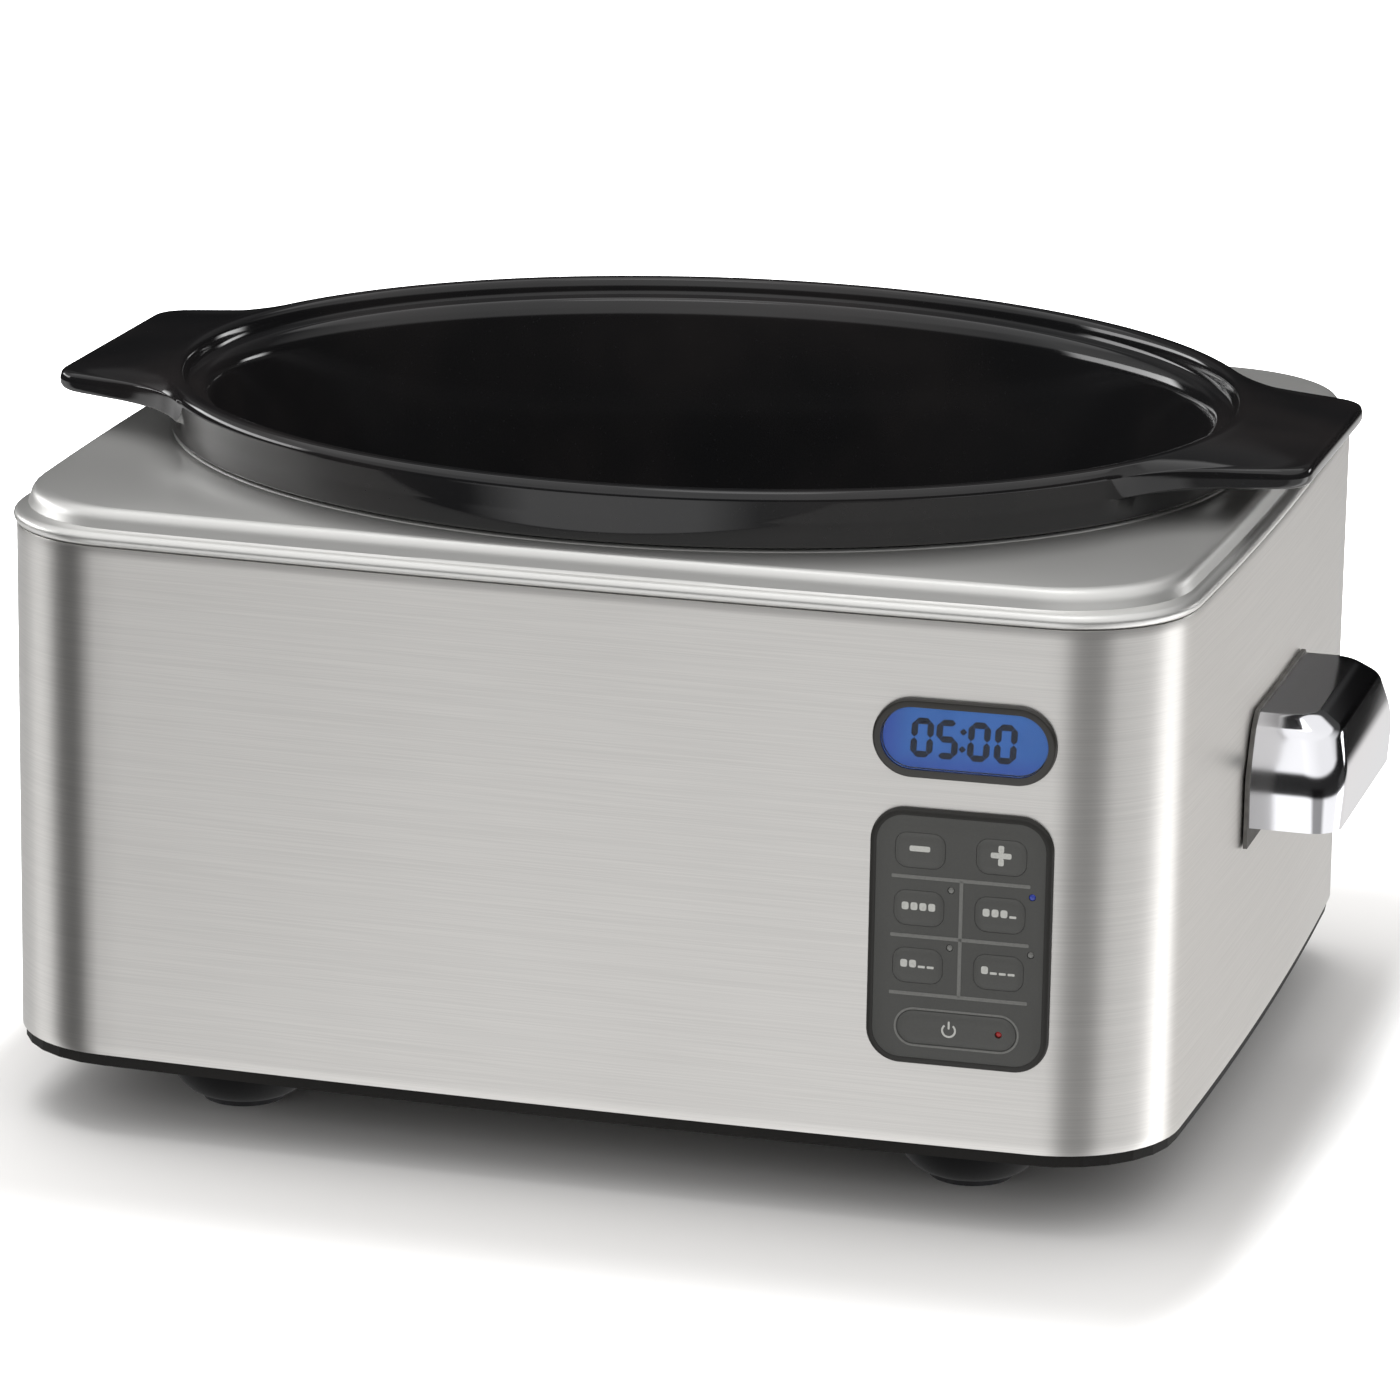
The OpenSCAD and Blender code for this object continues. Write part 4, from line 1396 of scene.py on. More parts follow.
        # Inset from a wing's edge and height as a share of its thickness
        lower = eased([(5, 0), (0.9, 0), (0, 0.32)], 1.4, 4)
        upper = eased([(0, 0.6), (0.5, 1), (self.wing_edge, 1)], 1.8, 5)
        rings = []
        for inset, share in lower + upper:
            out = over - low_in + (low_in - high_in) * share
            rings.append(self.ring(out, self.wing_under + self.wing_t * share, inset))
        outside = [(over - high_in, self.wing_top), (over - 0.25, rim - 0.72 * self.wing_drop),
                   (over - 0.75, rim - 0.34 * self.wing_drop),
                   (over - self.crown_in, rim - self.crown_drop)]
        slope = flowing(outside, 4)[1:-1]
        for k, (out, z) in enumerate(slope):
            rings.append(self.ring(out, z, self.wing_edge, (k + 1) / (len(slope) + 1)))
        return rings

    def inner_rings(self) -> list[Ring]:
        """Draw the rim, the lid's ledge and the bowl.

        Returns:
            Their rings, from the crown to the floor.
        """
        over = self.rim_over
        rim = self.rim_z
        floor = self.z0 + self.floor
        neck = -self.neck_gap
        heel = neck - self.taper - self.wall
        roll = [(over - self.crown_in, rim - self.crown_drop), (over - 3.2, rim),
                (over - 5.6, rim - 0.3), (over - 6.6, rim - 1.6), (over - 7.2, rim - 4.2)]
        ledge = [(over - 7.5, rim - 4.9), (neck - 0.6, rim - 5.2), (neck - 2.2, rim - 6.2),
                 (neck - 3.6, rim - 8.6), (neck - 4.4, rim - 12)]
        bowl = [(neck - self.wall, self.housing.plate_z - 4), (heel + 0.6, floor + 14),
                (heel - 0.6, floor + 7), (heel - 4.4, floor + 2), (heel - 12, floor),
                (heel - 30, floor)]
        return [self.ring(e, z) for path in (roll, ledge, bowl) for e, z in flowing(path)]

    def build(self) -> None:
        """Build the pot in one smooth skin, with its foot left unglazed."""
        rings = self.outer_rings() + self.wing_rings() + self.inner_rings()
        pot = loft("crock_pot", rings, crease=60)
        finish_piece(pot, CROCK, self.finishes.glaze, ["crock"])
        pot.data.materials.append(self.finishes.foot_ring.material())
        foot_top = (self.z0 + self.bare_h) * MM
        for face in pot.data.polygons:
            face.material_index = 1 if face.center.z < foot_top else 0


# ---------- handles ----------


@dataclass
class Handle:
    """Hollow cast handle on one side, open below."""

    finishes: Finishes
    name: str
    side: int
    wall: float = 2.5
    boss_r: float = 5.0
    boss_l: float = 11.0
    boss_inset: float = 13.0
    boss_edge: float = 0.5
    arc_steps: int = 10
    crease: float = 48.0

    def __post_init__(self) -> None:
        """Take the handle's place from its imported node."""
        low, high = node_box(f"handle_{self.name}")
        ends = sorted((abs(low.x), abs(high.x)))
        self.x0, self.x1 = ends
        self.half_l = high.y
        self.z0 = low.z
        self.height = high.z - low.z

    def outline(self, back: float, reach: float, half: float, corner: float, z: float) -> Ring:
        """Return one level of the handle.

        Args:
            back: Where the level's flat back lies.
            reach: How far out it reaches.
            half: Half of its length.
            corner: Radius of its two outer corners.
            z: Its height.

        Returns:
            The level's ring.
        """
        points = [(back, -half)]
        points += arc(reach - corner, corner - half, corner, -90, 90, self.arc_steps)
        points += arc(reach - corner, half - corner, corner, 0, 90, self.arc_steps)
        points.append((back, half))
        return [Vector((self.side * x, y, z)) for x, y in points]

    def levels(self) -> list[list[float]]:
        """Lay out the handle's levels, its edges rounded.

        Returns:
            Height, reach lost, half length lost and corner radius of each level.
        """
        h = self.height
        corners = [(0, 1.2, 0.5, 9), (0.47 * h, 0, 0, 11), (0.875 * h, 3.3, 6, 11),
                   (h, 9.6, 11, 8), (h, 17, 17, 3)]
        return eased(corners, (6.5, 2.2, 2.2), 6)

    def shell_rings(self) -> list[Ring]:
        """Draw the outside and the hollow.

        Returns:
            Rings from the top down the outside, and from the lower rim up the hollow.
        """
        outside = [
            self.outline(self.x0, self.x1 - lost, self.half_l - short, corner, self.z0 + z)
            for z, lost, short, corner in self.levels()
        ]
        w = self.wall
        hollow = []
        for z, lost, short, corner in self.levels():
            level = min(self.z0 + z, self.z0 + self.height - w)
            hollow.append(self.outline(self.x0 + w, self.x1 - lost - w, self.half_l - short - w,
                                       max(corner - w, 1.0), level))
        return outside[::-1] + hollow

    def bosses(self) -> list[bpy.types.Object]:
        """Build the two screw bosses.

        Returns:
            The bosses.
        """
        made = []
        z0 = self.z0 + self.height / 2
        tip = self.x0 + self.boss_l
        section = [(self.x0 + 0.1, self.boss_r), (tip - self.boss_edge, self.boss_r),
                   (tip, self.boss_r - self.boss_edge)]
        for sy in (-1, 1):
            y0 = sy * (self.half_l - self.boss_inset)
            rings = [[Vector((self.side * x, y0 + a, z0 + b)) for a, b in circle(r, 24)]
                     for x, r in section]
            made.append(loft(f"boss_{self.name}_{sy}", rings))
        return made

    def build(self) -> None:
        """Build the handle."""
        shell = loft(f"grip_{self.name}", self.shell_rings(), crease=self.crease)
        whole = join(f"handle_{self.name}_shell", [shell, *self.bosses()], self.crease)
        finish_piece(whole, HOUSING, self.finishes.chrome,
                     [f"handle_{self.name}"])
        # The brushed wrap beside it would carry a smear of it
        whole.visible_glossy = False


# ---------- control panel ----------


class Mark(Enum):
    """Mark printed on a key."""

    MINUS = "minus"
    PLUS = "plus"
    HIGH = "high"
    LOW = "low"
    SIMMER = "simmer"
    WARM = "warm"
    POWER = "power"


@dataclass(frozen=True)
class Key:
    """Place and size of one key on the keypad."""

    mark: Mark
    x: float
    rise: float
    width: float = 14.0
    height: float = 10.0
    corner: float = 3.4


@dataclass
class ControlPanel:
    """Display and keypad on the front, in their own upright frame."""

    finishes: Finishes
    housing: Housing
    centre_x: float = 116.0
    width: float = 51.6
    keypad_h: float = 73.8
    keypad_rise: float = 23.8
    display_h: float = 22.4
    display_gap: float = 8.8
    proud: float = 1.6
    key_proud: float = 0.7
    corner: float = 9.8
    lap: float = 2.0
    rim_w: float = 1.9
    back_y: float = 3.0
    hole_y: float = 8.0
    bezel_w: float = 2.3
    field_gap: float = 0.35
    key_gap: float = 0.1
    lamp_r: float = 0.9
    lamp_gap: float = 0.12
    pipe_y: float = 8.2
    key_dx: float = 11.4
    top_row: float = 62.0
    row_pitch: float = 16.6
    power_rise: float = 11.0
    lamp_dx: float = 8.9
    lamp_dz: float = 5.9
    power_lamp_x: float = 12.0
    rule_w: float = 1.05
    rule_l: float = 39.0
    rule_rises: tuple[float, float, float] = (54.3, 37.3, 20.6)
    mark_rise: float = 0.7

    def __post_init__(self) -> None:
        """Work out the panel's frame on the bowed front."""
        flat = self.housing.half_w - self.housing.corner_r
        slope = 2 * self.housing.bow * self.centre_x / flat ** 2
        self.matrix = Matrix.Translation((self.centre_x, self.housing.front_y(self.centre_x), 0))
        self.matrix @= Matrix.Rotation(math.atan(slope), 4, "Z")
        self.keypad_low = self.housing.wrap_z + self.keypad_rise
        self.keypad_z = self.keypad_low + self.keypad_h / 2
        self.display_z = self.keypad_low + self.keypad_h + self.display_gap + self.display_h / 2
        rows = [(Mark.MINUS, Mark.PLUS), (Mark.HIGH, Mark.LOW), (Mark.SIMMER, Mark.WARM)]
        self.keys = [Key(mark, x, self.top_row - k * self.row_pitch) for k, row in enumerate(rows)
                     for mark, x in zip(row, (-self.key_dx, self.key_dx))]
        self.keys.append(Key(Mark.POWER, 0, self.power_rise, width=33.6, height=9.5, corner=4.7))

    def at(self, outline: Iterable[tuple], y: float, x: float = 0.0, z: float = 0.0) -> Ring:
        """Place an upright outline.

        Args:
            outline: Points across and up.
            y: Depth, 0 on the steel and positive into the housing.
            x: Shift across.
            z: Shift up.

        Returns:
            The ring in the frame.
        """
        return [self.matrix @ Vector((x + u, y, z + v)) for u, v in outline]

    def slab(self, name: str, width: float, height: float, radius: float, x: float, z: float,
             depth: Sequence[tuple[float, float]], steps: int = 10) -> bpy.types.Object:
        """Build a rounded slab from a section.

        Args:
            name: Name of the piece.
            width: Its width.
            height: Its height.
            radius: Its corner radius.
            x: Where its middle is across.
            z: Where its middle is up.
            depth: Section as (inset, depth) from back to front.
            steps: Steps of each corner.

        Returns:
            The slab.
        """
        rings = [
            self.at(rounded(width - 2 * i, height - 2 * i, max(radius - i, 0.05), steps), y, x, z)
            for i, y in depth
        ]
        return loft(name, rings, crease=40)

    def holes(self) -> list[bpy.types.Object]:
        """Build the solids that cut the wrap.

        Returns:
            One for the keypad and one for the display.
        """
        fit = self.housing.fit
        gap = 2 * (self.lap - fit)
        height = self.display_h - gap
        deep = [(0, self.hole_y), (0, -self.hole_y)]
        return [
            self.slab("hole_keypad", self.width - gap, self.keypad_h - gap,
                      self.corner - self.lap + fit, 0, self.keypad_z, deep),
            self.slab("hole_display", self.width - gap, height, pill_radius(height), 0,
                      self.display_z, deep),
        ]

    def build_bezel(self) -> None:
        """Build the display's bezel ring."""
        w, p = self.bezel_w, -self.proud
        section = [(self.lap, self.back_y), (self.lap, 0), *eased([(0, 0), (0, p), (w, p)], 0.8, 5),
                   *eased([(w, p), (w, p + 1.2), (w, 0.55)], 0.1, 1)[1:], (w + 1.3, 0.62),
                   (w + 1.3, self.back_y)]
        rings = []
        for i, y in section:
            height = self.display_h - 2 * i
            pill = rounded(self.width - 2 * i, height, pill_radius(height), 16)
            rings.append(self.at(pill, y, 0, self.display_z))
        bezel = loft("display_bezel_ring", rings, joined=True, crease=50)
        finish_piece(bezel, HOUSING, self.finishes.bezel, ["display_bezel"])

    def build_display(self) -> None:
        """Build the lit field and its digits behind the window."""
        inset = self.bezel_w + self.field_gap
        height = self.display_h - 2 * inset
        field = self.slab("display_field", self.width - 2 * inset, height, pill_radius(height), 0,
                          self.display_z, [(0, 0.53), (0, 0.4)], 16)
        finish_piece(field, HOUSING, self.finishes.display)
        digits = Digits(self, "05:00")
        finish_piece(digits.mesh(), HOUSING, self.finishes.digits)

    def build_keypad(self) -> None:
        """Build the keypad's rim, and its plate with holes for its keys and lamps."""
        p = -self.proud
        seam = self.rim_w
        edge = [(self.lap, self.back_y), (self.lap, 0.05), (0, 0)]
        edge += eased([(0, -0.2), (0.15, p + 0.35), (1.2, p), (seam, p)], 0.5, 4)
        edge += [(seam, self.back_y)]
        rings = [self.at(rounded(self.width - 2 * i, self.keypad_h - 2 * i, self.corner - i, 14),
                         y, 0, self.keypad_z) for i, y in edge]
        rim = loft("keypad_rim", rings, joined=True, crease=40)
        finish_piece(rim, HOUSING, self.finishes.keypad_rim)
        depth = [(seam, self.back_y), (seam, p + 0.14), (seam + 0.12, p + 0.04), (8.0, p + 0.04)]
        plate = self.slab("keypad_plate", self.width, self.keypad_h, self.corner, 0,
                          self.keypad_z, depth, 14)
        tools = [self.key_tool(key) for key in self.keys]
        tools += [self.lamp_tool(x, z) for x, z in self.lamps()]
        cut(plate, tools, 40)
        finish_piece(plate, HOUSING, self.finishes.keypad, ["keypad_panel"])

    def through(self) -> list[tuple[float, float]]:
        """Return the section of a solid that cuts through the keypad's plate."""
        return [(0, self.back_y + 2), (0, -self.proud - 2)]

    def key_tool(self, key: Key) -> bpy.types.Object:
        """Return the solid that cuts a key's hole."""
        gap = self.key_gap
        return self.slab(f"tool_{key.mark.value}", key.width + 2 * gap, key.height + 2 * gap,
                         key.corner + gap, key.x, self.keypad_low + key.rise, self.through())

    def lamp_tool(self, x: float, z: float) -> bpy.types.Object:
        """Return the solid that cuts a lamp's hole."""
        r = self.lamp_r + self.lamp_gap
        return self.slab("tool_lamp", 2 * r, 2 * r, r - 0.01, x, z, self.through(), 6)

    def lamps(self) -> list[tuple[float, float]]:
        """Return the places of the lamps beside the four heat keys."""
        heat = self.keys[2:6]
        return [(k.x + self.lamp_dx, self.keypad_low + k.rise + self.lamp_dz) for k in heat]

    def build_lamps(self) -> None:
        """Build the lenses of the indicators; the first stands for the node of all the pipes."""
        off, blue, red = self.finishes.lamp_off, self.finishes.lamp_blue, self.finishes.lamp_red
        looks = {"high": off, "low": blue, "simmer": off, "warm": off, "power": red}
        power = (self.power_lamp_x, self.keypad_low + self.keys[-1].rise)
        p, r = -self.proud, self.lamp_r
        dome = [(0, self.pipe_y), *eased([(0, p + 0.5), (0, p + 0.1), (r - 0.05, p)], 0.6, 5)]
        for (name, look), (x, z) in zip(looks.items(), [*self.lamps(), power]):
            lens = self.slab(f"lamp_{name}", 2 * r, 2 * r, r - 0.01, x, z, dome, 6)
            nodes = ["light_pipes"] if name == "high" else []
            finish_piece(lens, HOUSING, look, nodes)

    def build_keys(self) -> None:
        """Build the seven keys, each on its own body."""
        rise = self.key_proud
        face = -self.proud - rise
        flange = [(-1, 4.3), (-1, 3.35), (0, 3.3)]
        dome = [(0, 1), (0.15, 0.8), (0.7, 0.4), (1.5, 0.12), (2.4, 0), (3.2, 0)]
        section = flange + flowing([(inset, face + low * rise) for inset, low in dome])
        for key in self.keys:
            name = f"key_{key.mark.value}"
            z = self.keypad_low + key.rise
            cap = self.slab(f"{name}_cap", key.width, key.height, key.corner, key.x, z, section)
            if key.mark is Mark.POWER:
                cut(cap, [self.lamp_tool(self.power_lamp_x, z)], 40)
            finish_piece(cap, name, self.finishes.key, [name])
            mark = self.mark_mesh(key, f"{name}_mark", z, face)
            finish_piece(mark, name, self.finishes.marks)

    def mark_mesh(self, key: Key, name: str, z: float, face: float) -> bpy.types.Object:
        """Build the mark on a key.

        Args:
            key: The key.
            name: Name of the piece.
            z: Height of the key's middle.
            face: Depth of the key's face.

        Returns:
            The mark.
        """
        depth = [(0, face + 0.06), (0, face - 0.02), (0.06, face - 0.03)]
        if key.mark is Mark.POWER:
            return self.power_mark(key, name, z, depth)
        bar, thin = 5.8, 1.6
        boxes = [(0, 0, bar, thin)]
        if key.mark is Mark.PLUS:
            boxes += [(0, bar / 4 + thin / 4, thin, bar / 2 - thin / 2),
                      (0, -bar / 4 - thin / 4, thin, bar / 2 - thin / 2)]
        elif key.mark is not Mark.MINUS:
            filled = {Mark.HIGH: 4, Mark.LOW: 3, Mark.SIMMER: 2, Mark.WARM: 1}[key.mark]
            pitch, wide, tall, low = 2.5, 1.95, 2.2, 0.7
            heights = [tall if k < filled else low for k in range(4)]
            boxes = [((k - 1.5) * pitch, (h - tall) / 2, wide, h) for k, h in enumerate(heights)]
        parts = [
            self.slab(f"{name}_{k}", w, h, min(w, h) * 0.3, key.x + x, z + dz + self.mark_rise,
                      depth, 3)
            for k, (x, dz, w, h) in enumerate(boxes)
        ]
        return join(name, parts)

    def power_mark(self, key: Key, name: str, z: float,
                   depth: Sequence[tuple[float, float]]) -> bpy.types.Object:
        """Build the broken ring with a stroke that marks the power key, left of its middle.

        Args:
            key: The power key.
            name: Name of the piece.
            z: Height of the key's middle.
            depth: Section of the mark as (inset, depth).

        Returns:
            The mark.
        """
        radius, stroke, shift = 2.1, 0.55, -2.0
        first, sweep, steps = 130, 280, 22
        ring = arc(shift, 0, radius, first, sweep, steps)
        ring += reversed(arc(shift, 0, radius - stroke, first, sweep, steps))
        broken = loft(f"{name}_ring", [self.at(ring, y, key.x, z) for _, y in depth])
        line = self.slab(f"{name}_line", stroke, 2.3, 0.2, key.x + shift, z + 1.5, depth, 3)
        return join(name, [broken, line])

    def pill_line(self) -> bpy.types.Object:
        """Build the thin raised line round the power key.

        Returns:
            The line.
        """
        power = self.keys[-1]
        p = -self.proud
        section = [(0.3, p + 0.06), (0.3, p - 0.06), (0.45, p - 0.1), (0.75, p - 0.1),
                   (0.9, p - 0.06), (0.9, p + 0.06)]
        rings = []
        for out, y in section:
            height = power.height + 2 * out
            pill = rounded(power.width + 2 * out, height, pill_radius(height))
            rings.append(self.at(pill, y, power.x, self.keypad_low + power.rise))
        return loft("power_line", rings, joined=True)

    def build_rules(self) -> None:
        """Build the thin raised rules between the rows and the two columns."""
        levels = [self.keypad_low + rise for rise in self.rule_rises]
        p = -self.proud
        depth = [(0, p + 0.04), (0, p - 0.05), (0.1, p - 0.09)]
        parts = [self.slab(f"rule_{k}", self.rule_l, self.rule_w, 0.3, 0.2, z, depth, 3)
                 for k, z in enumerate(levels)]
        tall = levels[0] - levels[-1]
        middle = (levels[0] + levels[-1]) / 2
        upright = self.slab("rule_upright", self.rule_w, tall, 0.3, 0.4, middle, depth, 3)
        rules = join("keypad_rules", [*parts, upright, self.pill_line()])
        finish_piece(rules, HOUSING, self.finishes.rules)

    def build(self) -> None:
        """Build the whole panel."""
        self.build_bezel()
        self.build_display()
        self.build_keypad()
        self.build_lamps()
        self.build_keys()
        self.build_rules()


@dataclass
class Digits:
    """Seven-segment digits of the display."""

    panel: ControlPanel
    text: str
    digit_w: float = 6.3
    digit_h: float = 11.3
    stroke: float = 1.85
    gap: float = 0.04
    lean: float = 0.05
    dot_half: float = 1.1
    dot_rise: float = 0.22
    depths: tuple[float, float] = (0.42, 0.35)
    places: tuple[float, ...] = (-12.1, -5.1, -0.7, 3.8, 11.3)

    SEGMENTS = {"0": "abcdef", "5": "acdfg", ":": ("upper dot", "lower dot")}

    def segment(self, name: str, ends: tuple[Numbers, Numbers], x0: float) -> bpy.types.Object:
        """Build one segment, pointed at both of its ends.

        Args:
            name: Name of the segment.
            ends: Its two ends, from the digit's middle.
            x0: Where the digit's middle is across.

        Returns:
            The segment.
        """
        a, b = (Vector(end) for end in ends)
        tip = (b - a).normalized() * (self.stroke / 2)
        out = Vector((-tip.y, tip.x))
        path = [a, a + tip - out, b - tip - out, b, b - tip + out, a + tip + out]
        slanted = [(x0 + p.x + self.lean * p.y, p.y) for p in path]
        z = self.panel.display_z
        return loft(name, [self.panel.at(slanted, y, 0, z) for y in self.depths])

    def mesh(self) -> bpy.types.Object:
        """Build all the digits.

        Returns:
            The digits as one piece.
        """
        w, h = self.digit_w / 2 - self.stroke / 2, self.digit_h / 2 - self.stroke / 2
        g, r, dot_z = self.gap, self.dot_half, self.dot_rise * self.digit_h
        ends = {
            "a": ((-w + g, h), (w - g, h)), "b": ((w, h - g), (w, g)),
            "c": ((w, -g), (w, -h + g)), "d": ((-w + g, -h), (w - g, -h)),
            "e": ((-w, -g), (-w, -h + g)), "f": ((-w, h - g), (-w, g)),
            "g": ((-w + g, 0), (w - g, 0)),
            "upper dot": ((-r, dot_z), (r, dot_z)), "lower dot": ((-r, -dot_z), (r, -dot_z)),
        }
        parts = [self.segment("segment", ends[lit], x) for char, x in zip(self.text, self.places)
                 for lit in self.SEGMENTS[char]]
        return join("display_digits", parts)


# ---------- carried-over nodes ----------


@dataclass
class Carried:
    """CAD nodes that keep their own shape and get a finish."""

    finishes: Finishes

    def dress(self) -> None:
        """Dress each node by its material slot, but the cord's gland and its nut in nylon."""
        looks = self.finishes.by_slot()
        for node, slot in node_slots().items():
            nylon = node in ("cord_gland", "gland_nut")
            finish = self.finishes.gland if nylon else looks[slot]
            finish.dress(frame["nodes"][node])
        log.info("finishes on %d carried nodes", len(frame["nodes"]))


# ---------- studio ----------


@dataclass
class Studio:
    """Camera, floor, world and lamps."""

    target: tuple[float, float, float] = (1.5, 0.0, 106.0)
    turn: float = 15.453
    rise: float = 15.507
    roll: float = 0.946
    distance: float = 1998.0
    lens: float = 171.09
    sensor: float = 36.0
    shift: tuple[float, float] = (-0.0059, -0.0059)
    clip: float = 100.0
    floor_half: float = 9000.0
    # Distances from the wrap, in metres, between which the floor turns white for the camera; nearer
    # the wrap it keeps shaded_floor, a painted shadow over the cooker's real one; at the wrap's
    # sides a distance counts side_factor times
    white_from: tuple[float, float] = (0.04, 0.17)
    side_factor: float = 3.2
    shaded_floor: Colour = (0.76, 0.75, 0.74, 1)
    white_floor: Colour = (2.2, 2.2, 2.2, 1)
    # Brightness of the world for matt surfaces, overhead and below the horizon, and the sines
    # of the height between which one becomes the other
    fill: float = 0.95
    fill_low: float = 0.35
    fill_from: tuple[float, float] = (0.0, 0.45)
    # Brightness of what glossy surfaces reflect at each turn round the cooker, in degrees from
    # the front towards the right, with its warmth where it has some: from the floor, from the
    # walls and from the ceiling
    floor_light: Levels = ((-180, 0.8), (-164, 0.7), (-110, 0.7), (-100, 1.22), (-78, 1.22),
                           (-69, 0.06), (-41, 0.06), (-28, 1.36), (6, 1.36), (18, 0.36),
                           (44, 0.34), (56, 1.15), (98, 1.15), (110, 2.8), (126, 2.8),
                           (136, 0.85, 0.02), (165, 0.85, 0.02), (180, 0.8))
    wall_light: Levels = ((-180, 0.06), (-140, 0.06), (-115, 0.5), (-80, 1.0), (-60, 0.7),
                          (0, 1.25), (50, 1.0), (90, 1.0), (120, 0.5), (140, 0.06), (180, 0.06))
    ceiling_light: Levels = ((-180, 1.0), (-90, 1.15), (0, 1.15), (90, 1.05), (180, 1.0))
    top_light: float = 3.0
    # Where the walls', the ceiling's and the topmost light take over from the one below, and
    # the two edges of the dark band round the horizon, all as sines of the height
    wall_from: tuple[float, float] = (0.0, 0.08)
    ceiling_from: tuple[float, float] = (0.60, 0.70)
    top_from: tuple[float, float] = (0.975, 0.99)
    band_from: tuple[float, float] = (-0.21, -0.15)
    band_to: tuple[float, float] = (0.26, 0.36)
    band_depth: float = 0.98
    # Narrow soft boxes that draw the glaze's streaks: the turns between which each one
    # stands, its heights as sines, and its brightness
    streaks: Levels = ((-124, -72, 0.14, 0.34, 6.0), (132, 152, -0.02, 0.14, 5.5))
    streak_edge: float = 0.02

    def build_camera(self) -> None:
        """Aim the camera and make it the scene's own."""
        turn, rise, roll = (math.radians(v) for v in (self.turn, self.rise, self.roll))
        back = Vector((math.sin(turn) * math.cos(rise), -math.cos(turn) * math.cos(rise),
                       math.sin(rise)))
        right = (-back).cross(Vector((0, 0, 1))).normalized()
        up = right.cross(-back)
        tilted = math.cos(roll) * right + math.sin(roll) * up
        upper = -math.sin(roll) * right + math.cos(roll) * up
        place = (Vector(self.target) + back * self.distance) * MM
        camera = bpy.data.objects.new("camera", bpy.data.cameras.new("camera"))
        basis = Matrix((tilted, upper, back)).transposed()
        camera.matrix_world = Matrix.Translation(place) @ basis.to_4x4()
        camera.data.lens = self.lens
        camera.data.sensor_width = self.sensor
        camera.data.shift_x, camera.data.shift_y = self.shift
        camera.data.clip_end = self.clip
        bpy.context.scene.collection.objects.link(camera)
        bpy.context.scene.camera = camera

    def build_floor(self) -> None:
        """Lay the pale floor, white for the camera but for a painted shadow that deepens the real
        one near the cooker.
        """
        s = self.floor_half
        corners = [Vector((x, y, 0)) for x, y in [(-s, -s), (s, -s), (s, s), (-s, s)]]
        floor = make_mesh("floor", corners, [[0, 1, 2, 3]])
        material = bpy.data.materials.new("floor_white")
        material.use_nodes = True
        recipe = Recipe(material.node_tree)
        seen = recipe.wire("ShaderNodeLightPath", "Is Camera Ray")
        at = recipe.place()
        cloud = recipe.noise(at, 3.0, 2, 0.5)
        plain = recipe.mix(cloud, (0.80, 0.80, 0.80, 1), (0.82, 0.82, 0.82, 1))
        x, y, _ = recipe.axes(at)
        edge = node_box("outer_wrap")[1] * MM
        beside = recipe.math("MAXIMUM", recipe.math("ABSOLUTE", x) - edge.x) * self.side_factor
        before = recipe.math("MAXIMUM", recipe.math("ABSOLUTE", y) - edge.y)
        away = recipe.math("SQRT", beside * beside + before * before)
        # Near the cooker the camera sees the floor in shaded_floor: a painted shadow over the real
        # one
        shown = recipe.mix(away.over(*self.white_from), self.shaded_floor, self.white_floor)
        colour = recipe.mix(seen, plain, shown)
        surface = recipe.node("ShaderNodeBsdfDiffuse", None, {"Color": colour})
        recipe.end("ShaderNodeOutputMaterial", surface)
        floor.data.materials.append(material)
        floor.visible_glossy = False

    def build_world(self) -> None:
        """Light the scene evenly, and give metal a studio of soft boxes to reflect."""
        world = bpy.data.worlds.new("studio")
        world.use_nodes = True
        bpy.context.scene.world = world
        recipe = Recipe(world.node_tree)
        x, y, z = recipe.axes(recipe.wire("ShaderNodeTexCoord", "Generated"))
        turn = recipe.math("ARCTAN2", x, -y) / (2 * math.pi) + 0.5

        def around(levels: Levels) -> Wire:
            """Spread light round the cooker.

            Args:
                levels: Turn in degrees, brightness and, where it has some, warmth.

            Returns:
                The light at each turn, halved so that the ramp holds it.
            """
            stops = []
            for angle, level, *rest in levels:
                warmth = rest[0] if rest else 0.0
                half = level / 2
                colour = (half * (1 + warmth), half, half * (1 - warmth), 1)
                stops.append(((angle + 180) / 360, colour))
            return recipe.wire("ShaderNodeValToRGB", 0, {"stops": stops}, {0: turn})

        def grey(level: float) -> Colour:
            """Return a level of white light, halved as the ramps are."""
            return (level / 2, level / 2, level / 2, 1)

        def within(value: Wire, first: float, last: float) -> Wire:
            """Return 1 between two values, with soft edges inside them, and 0 elsewhere."""
            soft = self.streak_edge
            return value.over(first, first + soft) - value.over(last - soft, last)

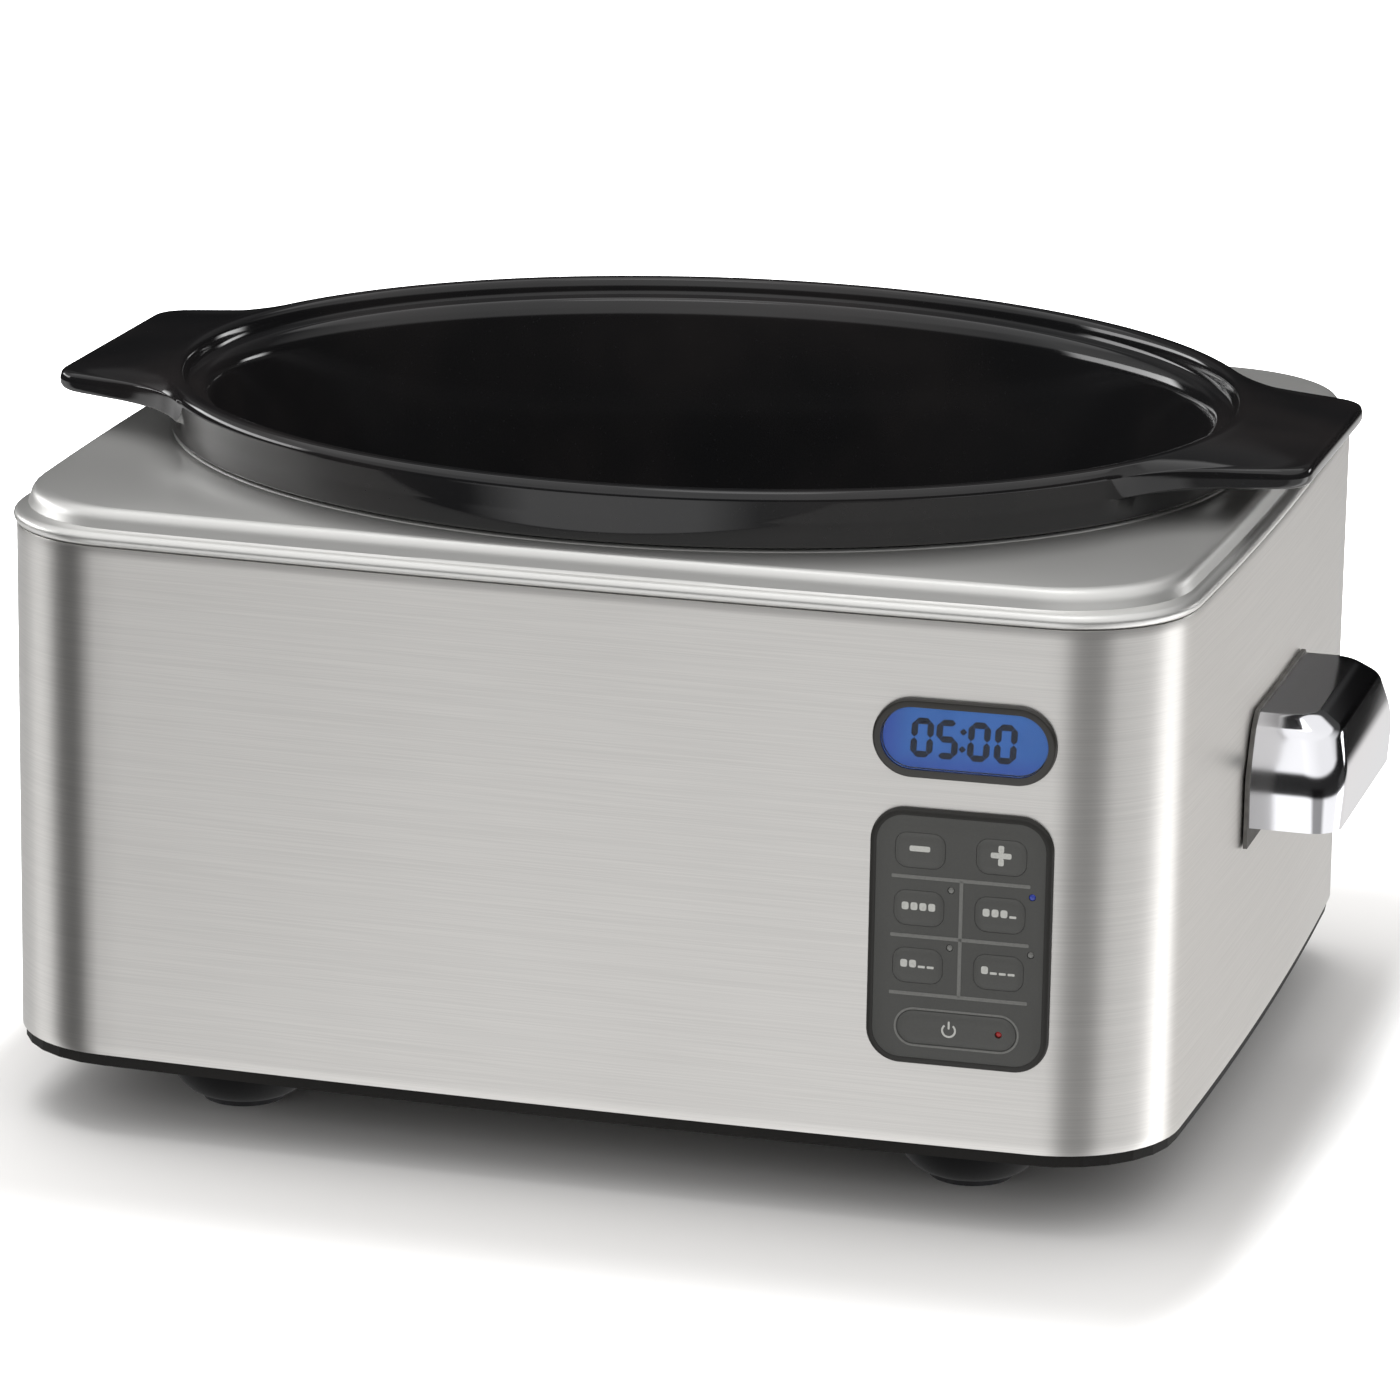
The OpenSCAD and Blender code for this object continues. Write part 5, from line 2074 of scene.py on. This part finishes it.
        floor, wall = around(self.floor_light), around(self.wall_light)
        studio = recipe.mix(z.over(*self.wall_from), floor, wall)
        studio = recipe.mix(z.over(*self.ceiling_from), studio, around(self.ceiling_light))
        studio = recipe.mix(z.over(*self.top_from), studio, grey(self.top_light))
        band = z.over(*self.band_from) - z.over(*self.band_to)
        studio = recipe.mix(band * self.band_depth, studio, grey(0.0))
        for first, last, low, high, level in self.streaks:
            across = within(turn, (first + 180) / 360, (last + 180) / 360)
            studio = recipe.mix(across * within(z, low, high), studio, grey(level))
        fill = recipe.mix(z.over(*self.fill_from), grey(self.fill_low), grey(self.fill))
        glossy, camera, through = (recipe.wire("ShaderNodeLightPath", f"Is {kind} Ray")
                                   for kind in ("Glossy", "Camera", "Transmission"))
        level = recipe.mix(glossy, fill, studio)
        level = recipe.mix(recipe.math("MAXIMUM", camera, through), level, grey(1.0))
        background = recipe.node("ShaderNodeBackground", None, {"Color": level, "Strength": 2.0})
        recipe.end("ShaderNodeOutputWorld", background)

    def add_lamp(self, name: str, place: Numbers, aim: Numbers, size: tuple[float, float],
                 power: float) -> None:
        """Hang one soft box, which glossy surfaces don't reflect.

        Args:
            name: Name of the lamp.
            place: Where it hangs, in millimetres.
            aim: What it points at.
            size: Its width and height.
            power: Its power in watts.
        """
        data = bpy.data.lights.new(name, "AREA")
        data.shape = "RECTANGLE"
        data.size, data.size_y = size[0] * MM, size[1] * MM
        data.energy = power
        lamp = bpy.data.objects.new(name, data)
        lamp.location = Vector(place) * MM
        lamp.rotation_euler = (Vector(place) - Vector(aim)).to_track_quat("Z", "Y").to_euler()
        lamp.visible_glossy = False
        bpy.context.scene.collection.objects.link(lamp)

    def build_lamps(self) -> None:
        """Hang the broad lamps over the cooker and in front of it."""
        self.add_lamp("overhead", (-450, 250, 1900), (0, 0, 100), (1300, 1300), 23)
        self.add_lamp("front", (-300, -2200, 1100), (0, 0, 100), (1200, 800), 6)

    def build(self) -> None:
        """Set up the studio."""
        self.build_camera()
        self.build_floor()
        self.build_world()
        self.build_lamps()
        log.info("studio is up")


def main() -> None:
    """Build the studio and dress the cooker."""
    logging.basicConfig(level=logging.INFO, format="%(name)s: %(message)s")
    bpy.context.scene.view_settings.view_transform = "Standard"
    finishes = Finishes()
    Studio().build()
    Carried(finishes).dress()
    housing = Housing(finishes)
    panel = ControlPanel(finishes, housing)
    housing.build(panel.holes())
    CrockPot(finishes, housing).build()
    for name, side in (("left", -1), ("right", 1)):
        Handle(finishes, name, side).build()
    panel.build()


if __name__ == "__main__":
    main()
